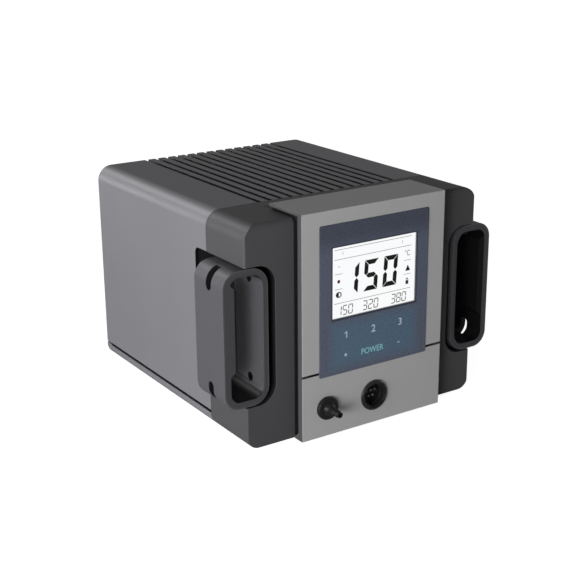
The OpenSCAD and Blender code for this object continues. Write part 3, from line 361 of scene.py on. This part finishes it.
# Handles: nylon hoops, each with two slots round its outer corners and a black rubber pad inside
# its outer, upper and lower walls. Two screws hold the foot in the frame's pocket.
# The ring is the hoop's front face, and the foot is the flat of its inner wall.
handle_x, handle_z, handle_corner, handle_wall = (69.2, 99.0), (30.4, 113.8), 10, 4.2
ring_back_y, ring_edge = -81.4, 0.8
slot_y, slot_from_x, slot_skin = (-69.6, -63.4), 84, 0.4
foot_face, foot_z, foot_painted_light_y = 72.3, (36, 108), (-80, -62)
foot_under_x, foot_over_x = foot_face - 0.4, foot_face + 0.3
pad_skin = 0.15

# Moulded nylon: a touch lighter and smoother than the frame, with a soft line of light round the
# hoop. The ring's front is painted darker and the slots nearly black, as painted shade, and the
# foot is painted lighter towards the rear, as painted light. The pad is black rubber; the black is
# carried as painted shade over the right pad's front face, and onto the left pad's edge as a thin
# painted shadow line.
for side, pad_and_shade_to_x in (("left", 91.6), ("right", 98)):
    handle_plastic = grained("moulded_nylon_charcoal_" + side, "#5b5b5f", grain_mm=0.8, roughness=0.45,
                             lift_mm=0.03, gloss=0.2)
    tree = handle_plastic.node_tree
    ring = deeper(tree, ring_edge, handle_x, handle_z, handle_corner)
    in_front = zone(tree, (-far, -far, -far), (far, ring_back_y, far))
    in_slots = deeper(tree, slot_skin, handle_x, handle_z, handle_corner)
    beside_slots = zone(tree, (slot_from_x, slot_y[0], -far), (far, slot_y[1], far))
    within_wall = deeper(tree, handle_wall - pad_skin, handle_x, handle_z, handle_corner)
    pad_and_shade_reach = zone(tree, (foot_over_x, -far, -far), (pad_and_shade_to_x, far, far))
    at_foot = zone(tree, (foot_under_x, ring_back_y, foot_z[0]), (foot_over_x, far, foot_z[1]))
    depth_y = add(tree, "SeparateXYZ", {0: add(tree, "TexCoord").outputs["Object"]}).outputs["Y"]
    foot_painted_light = add(tree, "MapRange", {0: depth_y, 1: foot_painted_light_y[0] * MM, 2: foot_painted_light_y[1] * MM})
    # Painted shade on the ring's front and in the slots, painted light on the foot, black pad with
    # painted shade.
    painted(handle_plastic, "#4e4e51", ring, in_front)
    painted(handle_plastic, "#808085", foot_painted_light.outputs[0], at_foot)
    painted(handle_plastic, "#1c1c1e", in_slots, beside_slots)
    painted(handle_plastic, "#101011", within_wall, pad_and_shade_reach)
    softened("handle_" + side, handle_plastic, edge_mm=1.0)


# Screws: steel with a cross recess, driven into the plastic. Those of the handles are countersunk
# and blackened, the others have pan heads and a bright zinc plating.
def skinned(name, grids, mat, nodes):
    """Closed piece from grids of points, rows by columns. Each grid is closed across its columns,
    and its first and last row each meet in one point."""
    joined_within = 0.001 * MM
    sharper_than = math.radians(40)
    points, faces, start = [], [], 0
    for grid in grids:
        rows, columns = grid.shape[:2]
        index = np.arange(rows * columns).reshape(rows, columns) + start
        after = np.roll(index, -1, axis=1)
        faces.append(np.stack([index[:-1], after[:-1], after[1:], index[1:]], -1).reshape(-1, 4))
        points.append(grid.reshape(-1, 3))
        start += rows * columns
    mesh = bpy.data.meshes.new(name)
    mesh.from_pydata(np.concatenate(points) * MM, [], np.concatenate(faces).tolist())
    shape = bmesh.new()
    shape.from_mesh(mesh)
    bmesh.ops.remove_doubles(shape, verts=shape.verts, dist=joined_within)
    bmesh.ops.recalc_face_normals(shape, faces=shape.faces)
    shape.to_mesh(mesh)
    shape.free()
    mesh.shade_smooth()
    mesh.set_sharp_from_angle(angle=sharper_than)
    fixed(bpy.data.objects.new(name, mesh), mat, nodes)


def facing(points, direction, place):
    """Turns points that are drawn about the Z axis towards a direction, and moves them to a place."""
    turn = np.array(Vector(direction).to_track_quat("Z", "Y").to_matrix())
    return points @ turn.T + np.array(place)


def plated_metal(name, colour, roughness):
    """Plated or turned metal: fine streaks, which are noise drawn out tenfold along X, darken it
    and shift its gloss. Real streaks are some hundredths of a millimetre wide, and are drawn
    wider to show."""
    streak_mm = 0.4
    drawn_out = (0.1, 1.0, 1.0)
    darkest = 0.85
    glossier, duller = 0.08, 0.1
    mat = bpy.data.materials.new(name)
    mat.use_nodes = True
    tree = mat.node_tree
    bsdf = tree.nodes["Principled BSDF"]
    bsdf.inputs["Metallic"].default_value = 1.0
    place = add(tree, "Mapping", {0: add(tree, "TexCoord").outputs["Object"], 3: drawn_out})
    streak = add(tree, "TexNoise", {"Vector": place.outputs[0], "Scale": 1000 / streak_mm, "Detail": 3.0})
    base = np.array(srgb(colour))[:3]
    shade = add(tree, "Mix", {0: streak.outputs["Fac"], 6: (*(base * darkest), 1), 7: (*base, 1)},
                data_type="RGBA")
    satin = add(tree, "MapRange", {0: streak.outputs["Fac"], 3: roughness - glossier,
                                   4: roughness + duller})
    tree.links.new(shade.outputs[2], bsdf.inputs["Base Color"])
    tree.links.new(satin.outputs[0], bsdf.inputs["Roughness"])
    return mat


def finish_node(mat, *names):
    """Gives CAD nodes their material."""
    for name in names:
        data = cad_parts[name].data
        data.materials.clear()
        data.materials.append(mat)


shank_r, head_r, head_t = 1.48, 2.9, 1.7
point_long, point_narrower = 0.4, 0.5
arm_half, arm_reach, arm_depth = 0.3, 1.5, 1.1
arm_inner_share, arm_end_share = 1.3, 0.2


def cross_screw(head, length):
    """Screw about the Z axis, its head on top. Across the head the height is a dome less a cross:
    each arm sinks the surface where a point is nearer than its half width to the arm's line, and
    less so towards its end. The shank under the head is straight, with a blunt point."""
    rim, around, across_steps = 0.35, 64, 14
    dome = {"pan": 0.35, "flat": 0.0}[head]
    edge = {"pan": [(head_r, -0.5), (head_r, -head_t)], "flat": [(head_r, -0.1)]}[head]
    across = np.linspace(0, head_r - rim, across_steps)[:, None]
    angle = np.linspace(0, 2 * np.pi, around, endpoint=False)[None]
    u = np.abs(across * np.cos(angle))
    v = np.abs(across * np.sin(angle))
    cross = np.maximum((u < arm_half) & (v < arm_reach), (v < arm_half) & (u < arm_reach))
    sunk = arm_depth * cross * np.clip(arm_inner_share - across / arm_reach, arm_end_share, 1)
    height = dome * (1 - (across / head_r) ** 2) - sunk - dome
    profile = [*edge, (shank_r, -head_t), (shank_r, point_long - length),
               (shank_r - point_narrower, -length), (0, -length)]
    profile_r, profile_h = np.array(profile).T[:, :, None]
    radii = np.concatenate([np.repeat(across, around, 1), np.repeat(profile_r, around, 1)])
    heights = np.concatenate([height, np.repeat(profile_h, around, 1)])
    return np.stack([radii * np.cos(angle), radii * np.sin(angle), heights], -1)


# Bright zinc plating on steel: a cool silver with soft highlights in the recess.
bright_zinc = plated_metal("bright_zinc_plated_steel", "#b9bcc0", roughness=0.32)
# Black oxide on steel: almost black, with a faint metal sheen at the rim.
black_oxide = plated_metal("black_oxide_steel", "#1b1b1d", roughness=0.4)

handle_screw = cross_screw("flat", length=9.0)
head_under_face = 0.02
handle_screw_x, handle_screw_y, handle_screw_z = foot_face - head_under_face, -66.5, (41.6, 103.4)
skinned("handle_screws_driven",
        [facing(handle_screw, (side, 0, 0), (side * handle_screw_x, handle_screw_y, z))
         for side in (-1, 1) for z in handle_screw_z],
        black_oxide, ("handle_screws",))

rear_screw = cross_screw("pan", length=14.2)
rear_screw_x, rear_screw_y, rear_screw_z = 79.3, 101.7, (24.5, 119.0)
skinned("rear_screws_driven",
        [facing(rear_screw, (0, 1, 0), (side * rear_screw_x, rear_screw_y, z))
         for side in (-1, 1) for z in rear_screw_z],
        bright_zinc, ("rear_screws",))

base_screw = cross_screw("pan", length=12.0)
base_screw_x, base_screw_y, base_screw_z = 73.5, (-13.0, 72.0), 3.0
skinned("base_screws_driven",
        [facing(base_screw, (0, 0, -1), (side * base_screw_x, y, base_screw_z))
         for side in (-1, 1) for y in base_screw_y],
        bright_zinc, ("base_screws",))
finish_node(bright_zinc, "frame_screws", "foot_screws", "display_screws", "board_screws")


# Touch overlay: polyester film printed from behind in slate blue, darker above the display and
# bluer over the keys. It is stuck into the recess that both bezels share.
def flat_print(name, outlines, front_y, thick_mm, mat, nodes=()):
    """Thin flat pieces: each outline, points across X and Z in millimetres, run round to the left,
    becomes one face, and the thickness lies behind it."""
    points = np.concatenate(outlines)
    ends = np.cumsum([len(outline) for outline in outlines])
    faces = [list(range(end - len(outline), end)) for end, outline in zip(ends, outlines)]
    mesh = bpy.data.meshes.new(name)
    mesh.from_pydata(np.insert(points, 1, front_y, axis=1) * MM, [], faces)
    piece = bpy.data.objects.new(name, mesh)
    wall = piece.modifiers.new("thickness", "SOLIDIFY")
    wall.thickness = thick_mm * MM
    wall.offset = -1.0
    fixed(piece, mat, nodes)


def lettering(name, words, place, mat, height_mm, weight=0.0, body="housing"):
    """Words in raised ink: the text becomes a mesh, is scaled to the height of its letters, centred
    and turned by the place matrix, which carries the XY plane onto the printed face."""
    ink_half = 0.02
    curve = bpy.data.curves.new(name, "FONT")
    curve.body = words
    curve.offset = weight
    curve.extrude = 0.01
    text = bpy.data.objects.new(name, curve)
    bpy.context.scene.collection.objects.link(text)
    bpy.context.view_layer.update()
    mesh = bpy.data.meshes.new_from_object(text.evaluated_get(bpy.context.evaluated_depsgraph_get()))
    bpy.data.objects.remove(text)
    points = np.empty(len(mesh.vertices) * 3)
    mesh.vertices.foreach_get("co", points)
    points = points.reshape(-1, 3)
    low, high = points.min(0), points.max(0)
    points = (points - (low + high) / 2) * height_mm / (high - low)[1]
    points[:, 2] = np.clip(points[:, 2], -ink_half, ink_half)
    turn = np.array(place)
    points = (points @ turn[:3, :3].T + turn[:3, 3]) * MM
    mesh.vertices.foreach_set("co", points.ravel())
    mesh.update()
    mesh.name = name
    fixed(bpy.data.objects.new(name, mesh), mat, (), body)


def on_front(x, y, z, narrow=1.0):
    """Matrix that stands the XY plane up at a place, its face to the front, and narrows it."""
    stood_up = Matrix.Translation((x, y, z)) @ Matrix.Rotation(math.radians(90), 4, "X")
    return stood_up @ Matrix.Diagonal((narrow, 1, 1, 1))


def bar(x, z, width, height):
    """Outline of an upright rectangle round a middle point."""
    return np.array([(x - width / 2, z - height / 2), (x + width / 2, z - height / 2),
                     (x + width / 2, z + height / 2), (x - width / 2, z + height / 2)])


film_face = -92.3
top_band_z, keys_z, keys_half = 121, (46, 72), 31
display_z, display_half = (74.9, 120.4), 31.8

# Polyester film printed from behind: the colour lies under a smooth, hardly grained skin with a
# satin shine. The printed fields run into each other softly, and only the display's rim is sharp.
film = grained("reverse_printed_polyester", "#646a7d", grain_mm=0.5, roughness=0.28, lift_mm=0.002,
               tone=0.04, gloss=0.4)
film_tree = film.node_tree
top_band = zone(film_tree, (-far, -far, top_band_z), (far, far, far), fade=5.0)
keys_field = zone(film_tree, (-far, -far, keys_z[0]), (keys_half, far, keys_z[1]), fade=4.0)
display_rim = zone(film_tree, (-far, -far, display_z[0]), (display_half, far, display_z[1]), fade=0.3)
painted(film, "#525766", top_band)
painted(film, "#5e788e", keys_field)
painted(film, "#3a3e4a", display_rim)
softened("touch_overlay", film, edge_mm=0.15, segments=2)

# Screen inks: a flat matt colour that stands a hair over the film, pale on the keys and teal on
# the word below them.
key_ink = grained("pale_blue_screen_ink", "#cde3ec", grain_mm=0.5, roughness=0.5, lift_mm=0.004)
power_ink = grained("teal_screen_ink", "#98d6e2", grain_mm=0.5, roughness=0.5, lift_mm=0.004)
letter_y, letter_weight = film_face - 0.01, 0.014
print_y, print_t = film_face - 0.03, 0.04
for name, words, x, z, height, narrow, ink in (
        ("key_two", "2", -0.85, 64.95, 4.8, 1.0, key_ink),
        ("key_three", "3", 19.5, 65.1, 4.6, 1.0, key_ink),
        ("key_power", "POWER", -1.3, 51.6, 3.9, 0.9, power_ink)):
    lettering(name, words, on_front(x, letter_y, z, narrow), ink,
              height_mm=height, weight=letter_weight)
one_x, one_z = -21.3, 62.9
one = np.array([(0.2, 0), (0.95, 0), (0.95, 4.3), (0.4, 4.3), (-0.95, 3.4), (-0.95, 2.7), (0.2, 3.35)])
flat_print("key_one", [one + (one_x, one_z)], print_y, print_t, key_ink)

plus_x, plus_z, plus_long = -21.3, 52.3, 2.3
minus_x, minus_z, minus_long = 18.5, 51.9, 1.8
sign_stroke = 0.65
arm_long = (plus_long - sign_stroke) / 2
arm_away = (plus_long + sign_stroke) / 4
flat_print("key_plus_minus",
           [bar(plus_x, plus_z, plus_long, sign_stroke),
            bar(plus_x, plus_z + arm_away, sign_stroke, arm_long),
            bar(plus_x, plus_z - arm_away, sign_stroke, arm_long),
            bar(minus_x, minus_z, minus_long, sign_stroke)],
           print_y, print_t, key_ink)

# Display: a liquid crystal module, lit white from behind, under a clear window in the overlay.
# Its marks are black crystal cells: large and small seven-bar figures, thin lines and signs.
window_width, window_low, window_high, window_t, window_veil = 61.8, 76.1, 119.5, 0.5, 0.06
backlight_level, backlight_cloud_mm = 1.08, 60

# Lit display: the face gives off a nearly even white, a trace cooler in places.
backlight = grained("lit_display_face", "#17181a", grain_mm=0.5, roughness=0.4, lift_mm=0.0)
backlight_tree = backlight.node_tree
backlight_place = add(backlight_tree, "TexCoord").outputs["Object"]
glow = add(backlight_tree, "TexNoise", {"Vector": backlight_place, "Scale": 1000 / backlight_cloud_mm,
                                        "Detail": 1.0})
glow_colour = add(backlight_tree, "Mix", {0: glow.outputs["Fac"], 6: srgb("#fbfdff"), 7: srgb("#ffffff")},
                  data_type="RGBA")
backlight_bsdf = backlight_tree.nodes["Principled BSDF"]
backlight_tree.links.new(glow_colour.outputs[2], backlight_bsdf.inputs["Emission Color"])
backlight_bsdf.inputs["Emission Strength"].default_value = backlight_level
finish_node(backlight, "lcd_module")

# Clear acrylic with an anti-glare skin: almost nothing of it is seen but a soft reflection.
window_glass = grained("clear_anti_glare_acrylic", "#101214", grain_mm=0.5, roughness=0.3, lift_mm=0.0)
window_glass.node_tree.nodes["Principled BSDF"].inputs["Alpha"].default_value = window_veil
flat_print("display_window_sheet",
           [bar(0, (window_low + window_high) / 2, window_width, window_high - window_low)],
           film_face, window_t, window_glass, ("display_window",))

lit_bars = {"0": "abcdef", "1": "bc", "2": "abged", "3": "abgcd", "5": "afgcd", "8": "abcdefg"}


def figures(words, left, low, width, height, pitch, stroke, gap, slant):
    """Outlines of seven-bar figures. A bar is a hexagon about its centre line: the line's ends,
    and four points half a stroke to its sides, which stand back by half a stroke, or forward on
    the outer side where the bar meets a corner. All points then lean to the right by the slant."""
    s = stroke / 2
    corners = {"tl": (s, height - s), "tr": (width - s, height - s),
               "ml": (s, height / 2), "mr": (width - s, height / 2),
               "bl": (s, s), "br": (width - s, s)}
    bars = {"a": ("tr", "tl", -1, -1), "b": ("mr", "tr", 1, -1), "c": ("br", "mr", -1, 1),
            "d": ("bl", "br", -1, -1), "e": ("ml", "bl", 1, -1), "f": ("tl", "ml", -1, 1),
            "g": ("ml", "mr", 1, 1)}
    shapes = []
    for place, word in enumerate(words):
        for name in lit_bars[word]:
            from_corner, to_corner, start_kind, end_kind = bars[name]
            start, end = np.array(corners[from_corner], float), np.array(corners[to_corner], float)
            along = (end - start) / np.linalg.norm(end - start)
            out = np.array([along[1], -along[0]])
            p, q = start + along * gap, end - along * gap
            shape = np.array([p, p + s * (start_kind * along + out), q + s * (out - end_kind * along), q,
                              q - s * (out + along), p + s * (along - out)])
            shape = shape + (left + place * pitch, 0)
            shapes.append(np.stack([shape[:, 0] + slant * shape[:, 1], shape[:, 1] + low], 1))
    return shapes


def disc(x, z, r_x, r_z, start=0, end=360, inner=0.0):
    """Outline of a round sign between two angles, or of an arc where the inner share isn't 0."""
    steps = 25
    angle = np.radians(np.linspace(start, end, steps))
    rim = np.stack([x + r_x * np.cos(angle), z + r_z * np.sin(angle)], 1)
    if inner:
        return np.concatenate([rim, ((rim - (x, z)) * inner + (x, z))[::-1]])
    closed = end - start == 360
    return rim[:-1] if closed else rim


# Liquid crystal: cells that take up the light, black where they are fully driven and grey in the
# thin lines. One cell lies under a red filter.
cell_black = grained("liquid_crystal_black", "#141517", grain_mm=0.5, roughness=0.5, lift_mm=0.0)
cell_grey = grained("liquid_crystal_grey", "#8f9296", grain_mm=0.5, roughness=0.5, lift_mm=0.0)
cell_red = grained("red_filter_cell", "#5a1820", grain_mm=0.5, roughness=0.5, lift_mm=0.0)
cell_y, cell_t = -91.36, 0.05
large = dict(low=89.1, width=10.4, height=19.0, pitch=14.4, stroke=2.9, gap=0.2, slant=0.07)
small = dict(low=77.3, width=3.3, height=6.0, pitch=4.1, stroke=0.55, gap=0.22, slant=0.07)
flat_print("large_figures", figures("150", left=-22.8, **large),
           cell_y, cell_t, cell_black)
flat_print("small_figures",
           figures("150", left=-27.4, **small) + figures("320", left=-8.6, **small)
           + figures("380", left=12.6, **small),
           cell_y, cell_t, cell_black)

# Thin lines: three across the display, two at each side between the signs, two short upright ones
# at the top, and a dash. Each is given by its middle, its width and its height.
line_t = 0.28
lines = [(-0.8, z, 57, line_t) for z in (117.75, 111.9, 85.1)]
lines += [(-26.1, z, 5.4, line_t) for z in (103.05, 93.8)]
lines += [(24.85, z, 5.3, line_t) for z in (102.9, 94.1)]
lines += [(x, z, line_t, 1.8) for x, z in ((-23.2, 115.3), (20.8, 115.0))]
lines += [(-25.9, 107.5, 1.3, 0.4)]
flat_print("cell_lines", [bar(*line) for line in lines], cell_y, cell_t, cell_grey)

# Signs: a dot, a half-filled disc, an arrow head, a lock with its bow, and the degree sign.
# Where a sign is a disc or an arc, its middle and its two radii are given.
alarm = -26.05, 98.5, 1.0, 1.1
contrast = -26.0, 90.4, 2.1, 1.8
lock_x, lock_z, lock_width, lock_height = 24.9, 88.9, 2.1, 2.3
bow = lock_x, lock_z + lock_height / 2, 0.9, 1.7
arrow = np.array([(23.4, 96.2), (27.1, 96.2), (25.25, 100.0)])
flat_print("alarm_dot", [disc(*alarm)], cell_y, cell_t, cell_red)
flat_print("signs",
           [disc(*contrast, start=90, end=270),
            disc(*contrast, start=-90, end=90, inner=0.66),
            arrow,
            bar(lock_x, lock_z, lock_width, lock_height),
            disc(*bow, start=0, end=180, inner=0.6)],
           cell_y, cell_t, cell_black)
lettering("degrees", "°C", on_front(24.8, cell_y, 107.5, narrow=0.8), cell_grey,
          height_mm=3.7)


# Tool socket: black glass-filled nylon ring, shell and insert, five nickel-plated pins with round
# ends, and a nut behind the bezel.
def turned(profile, place, sides=48):
    """Turned piece about a line along Y: a point is (r cos a, distance, r sin a) from its place, for
    each distance and radius r of the profile and each angle a."""
    distance, radius = np.array(profile, float).T[:, :, None]
    angle = np.linspace(0, 2 * np.pi, sides, endpoint=False)[None]
    return np.stack([radius * np.cos(angle), distance + 0 * angle, radius * np.sin(angle)], -1) + place


# Glass-filled nylon: black, with a silky sheen on its rounded rims. The insert is duller, and its
# darker colour is painted shade deep in the shell, so that the pins stand out in it.
black_nylon = grained("glass_filled_nylon_black", "#1b1b1d", grain_mm=0.6, roughness=0.38, lift_mm=0.01)
insert_nylon = grained("insert_nylon_black", "#0c0c0d", grain_mm=0.6, roughness=0.5, lift_mm=0.01)
softened("socket_ring", black_nylon, edge_mm=0.25)
softened("socket_shell", black_nylon, edge_mm=0.12, segments=2)
finish_node(insert_nylon, "socket_insert")
finish_node(bright_zinc, "socket_nut", "nozzle_nut")

# Nickel plating, darker than on the inlet's pins as painted shade deep in the socket, with a warm
# grey glint on each pin's round end.
nickel_painted_shade = plated_metal("nickel_painted_shade_pins", "#8d8a84", roughness=0.4)
socket_x, socket_z = 0.4, 21.2
pin_r, pin_tip_y, pin_end_y = 0.8, -89.4, -74.0
pin_places = ((-3.2, 1.9), (0, 1.9), (3.2, 1.9), (-1.7, -1.7), (1.7, -1.7))
pin_tip = [(pin_tip_y + pin_r * (1 - math.cos(a)), pin_r * math.sin(a))
           for a in np.radians((0, 25, 50, 70, 90))]
pin_profile = [*pin_tip, (pin_end_y, pin_r), (pin_end_y, 0)]
skinned("socket_pins_turned",
        [turned(pin_profile, (socket_x + x, 0, socket_z + z), sides=24) for x, z in pin_places],
        nickel_painted_shade, ("socket_pins",))

# Hose nozzle: turned from black acetal in one piece, with a flange against the bezel, a collar
# and a barbed stub for the vacuum hose. A nut holds it from behind.
nozzle_x, nozzle_z, nozzle_front = -34.8, 21.4, -92.0

# Turned acetal: deep black with a slightly waxy shine, which runs along the barbs as thin rings.
black_acetal = grained("turned_acetal_black", "#1a1a1c", grain_mm=0.5, roughness=0.42, lift_mm=0.006,
                       gloss=0.3)
# The profile's points are a distance out from the bezel and a radius.
nozzle_tail = [(-18.0, 2.2), (-8.0, 2.2), (-8.0, 4.0), (0.0, 4.0)]
nozzle_flange = [(0.0, 7.2), (1.8, 7.2), (2.4, 6.9), (2.6, 6.4)]
nozzle_collar = [(2.9, 4.0), (4.6, 3.2), (5.1, 2.9), (5.4, 2.2)]
nozzle_barbs = [(9.6, 2.15), (10.0, 1.85), (11.8, 2.2), (12.2, 1.85), (13.9, 1.75), (14.0, 1.6)]
nozzle_bore = [(14.0, 1.35), (12.6, 0.9), (-18.0, 0.9), (-18.0, 2.2)]
nozzle_profile = [(nozzle_front - out, r) for out, r in
                  nozzle_tail + nozzle_flange + nozzle_collar + nozzle_barbs + nozzle_bore]
skinned("hose_nozzle_turned", [turned(nozzle_profile, (nozzle_x, 0, nozzle_z))],
        black_acetal, ("hose_nozzle",))

# Rear side: sheet steel with a matt black powder coat, which carries the mains inlet with its
# fuse drawer and, above it, the rocker switch. Both are black thermoplastic with moulded edges.

# Powder coat: a matt black skin with the faint, wide ripple of melted powder.
coat = grained("matt_powder_coat_black", "#2b2b2d", grain_mm=1.4, roughness=0.62, lift_mm=0.05)
# Moulded thermoplastic: black, a little shinier than the coat around it.
fitting = grained("moulded_thermoplastic_black", "#161618", grain_mm=0.8, roughness=0.42, lift_mm=0.015)
# Polished mould: the rocker's two faces show a clear highlight.
rocker_gloss = grained("polished_rocker_black", "#18181a", grain_mm=0.8, roughness=0.24, lift_mm=0.004)
# Nickel plating on brass: a bright, slightly warm silver on the contact pins.
nickel = plated_metal("nickel_plated_brass", "#c9c6bd", roughness=0.25)
# Glass tube: pale, smooth and shiny, seen only when the drawer is out.
fuse_glass = grained("fuse_glass_tube", "#c4ccd0", grain_mm=0.8, roughness=0.1, lift_mm=0.0)
# Pad print: flat white ink, sharp against the black rocker.
white_ink = grained("white_pad_print", "#e4e4e4", grain_mm=0.5, roughness=0.5, lift_mm=0.0)
finish_node(coat, "rear_panel")
softened("inlet_body", fitting, edge_mm=0.35, segments=2)
softened("switch_body", fitting, edge_mm=0.35, segments=2)
softened("fuse_drawer", fitting, edge_mm=0.25, body="drawer", segments=2)
softened("rocker", rocker_gloss, edge_mm=0.4, body="power_rocker")
finish_node(nickel, "inlet_pins", "rocker_pivot")
finish_node(fuse_glass, "fuse")

# The marks lie on the rocker's two sloping faces. Each face falls 2.2 mm over 7.6 mm, and the
# rocker rests tipped about its pivot.
pivot, rocker_turn = (46.0, 98.5, 89.0), math.radians(-10)
face_out, face_up, face_slope, mark_lift = 3.5, 3.8, math.atan2(2.2, 7.6), 0.02
for name, mark, side in (("mark_on", "I", -1), ("mark_off", "O", 1)):
    on_rocker = (Matrix.Translation(pivot)
                 @ Matrix.Rotation(rocker_turn, 4, "X")
                 @ Matrix.Translation((0, face_out + mark_lift, side * face_up))
                 @ Matrix.Rotation(-side * face_slope, 4, "X")
                 @ Matrix.Rotation(math.radians(180), 4, "Z")
                 @ Matrix.Rotation(math.radians(90), 4, "X"))
    lettering(name, mark, on_rocker, white_ink, height_mm=3.2, body="power_rocker")

# Feet: four pads of soft black rubber, moulded with a recess in the middle. A screw in each recess
# holds the foot under the tray.

# Moulded rubber: black and dull, with next to no highlight.
rubber = grained("moulded_rubber_black", "#161617", grain_mm=0.7, roughness=0.7, lift_mm=0.02)
softened("feet", rubber, edge_mm=0.4)


# Inside: green circuit boards, the transformer with its stack of steel sheets and its taped copper
# winding, and the vacuum pump with its motor, bracket and tube. They show through the slots.
def striped(name, colours, pitch_mm, axis, roughness, metallic=0.0, wobble=0.0):
    """Material in two colours that alternate along one axis, one pair for each pitch_mm. The wave
    is a sine, and the node runs through 20 radians of it for each unit of its scale."""
    radians_per_unit = 20
    ridge_mm, ridge_share = 0.1, 0.5
    mat = bpy.data.materials.new(name)
    mat.use_nodes = True
    tree = mat.node_tree
    bsdf = tree.nodes["Principled BSDF"]
    wave = add(tree, "TexWave", {"Vector": add(tree, "TexCoord").outputs["Object"],
                                 "Scale": 2 * math.pi / radians_per_unit * 1000 / pitch_mm,
                                 "Distortion": wobble}, bands_direction=axis)
    shade = add(tree, "Mix", {0: wave.outputs["Fac"], 6: srgb(colours[0]), 7: srgb(colours[1])},
                data_type="RGBA")
    bump = add(tree, "Bump", {"Height": wave.outputs["Fac"], "Distance": ridge_mm * MM,
                              "Strength": ridge_share})
    tree.links.new(shade.outputs[2], bsdf.inputs["Base Color"])
    tree.links.new(bump.outputs[0], bsdf.inputs["Normal"])
    bsdf.inputs["Roughness"].default_value = roughness
    bsdf.inputs["Metallic"].default_value = metallic
    return mat


# Solder mask: shiny green lacquer, lighter where it runs over the copper tracks. The tracks are
# the borders of 5 mm cells, and their width is a share of a cell.
track_cell_mm, track_edge, track_end = 5, 0.05, 0.09
solder_mask = grained("green_solder_mask", "#1d5136", grain_mm=0.6, roughness=0.3, lift_mm=0.01)
mask_tree = solder_mask.node_tree
cells = add(mask_tree, "TexVoronoi", {"Vector": add(mask_tree, "TexCoord").outputs["Object"],
                                      "Scale": 1000 / track_cell_mm},
            feature="DISTANCE_TO_EDGE", distance="MANHATTAN")
tracks = add(mask_tree, "MapRange", {0: cells.outputs["Distance"], 1: track_edge, 2: track_end,
                                     3: 1.0, 4: 0.0})
painted(solder_mask, "#3f8a55", tracks.outputs[0])
finish_node(solder_mask, "main_board", "display_board")

# Varnished steel sheets: dark brown-grey stripes with a metal sheen. The sheets are 0.5 mm thick
# and are drawn at 1.2 mm, or the stripes would blur together.
core_sheets = striped("varnished_core_sheets", ("#3c3834", "#6f6a64"), pitch_mm=1.2, axis="Y",
                      roughness=0.45, metallic=0.7)
finish_node(core_sheets, "transformer_core")
# Taped copper winding: amber turns that show through the tape as soft, slightly uneven ridges.
winding = striped("taped_copper_winding", ("#8a5a20", "#c08a44"), pitch_mm=0.9, axis="Z",
                  roughness=0.4, wobble=0.4)
finish_node(winding, "transformer_winding")
# Zinc-plated sheet: a grey silver, duller than the screws.
zinc_sheet = plated_metal("zinc_plated_sheet", "#9fa3a6", roughness=0.38)
finish_node(zinc_sheet, "transformer_strap", "pump_bracket", "pump_motor")
# Cast aluminium: a matt grey skin, rough from the mould.
cast_skin = grained("cast_aluminium_skin", "#7d8083", grain_mm=1.2, roughness=0.5, lift_mm=0.08)
finish_node(cast_skin, "pump_head")
# Silicone: a soft dark grey with a damp-looking sheen.
silicone = grained("silicone_tube_grey", "#3a3f45", grain_mm=0.8, roughness=0.45, lift_mm=0.01)
finish_node(silicone, "air_tube")
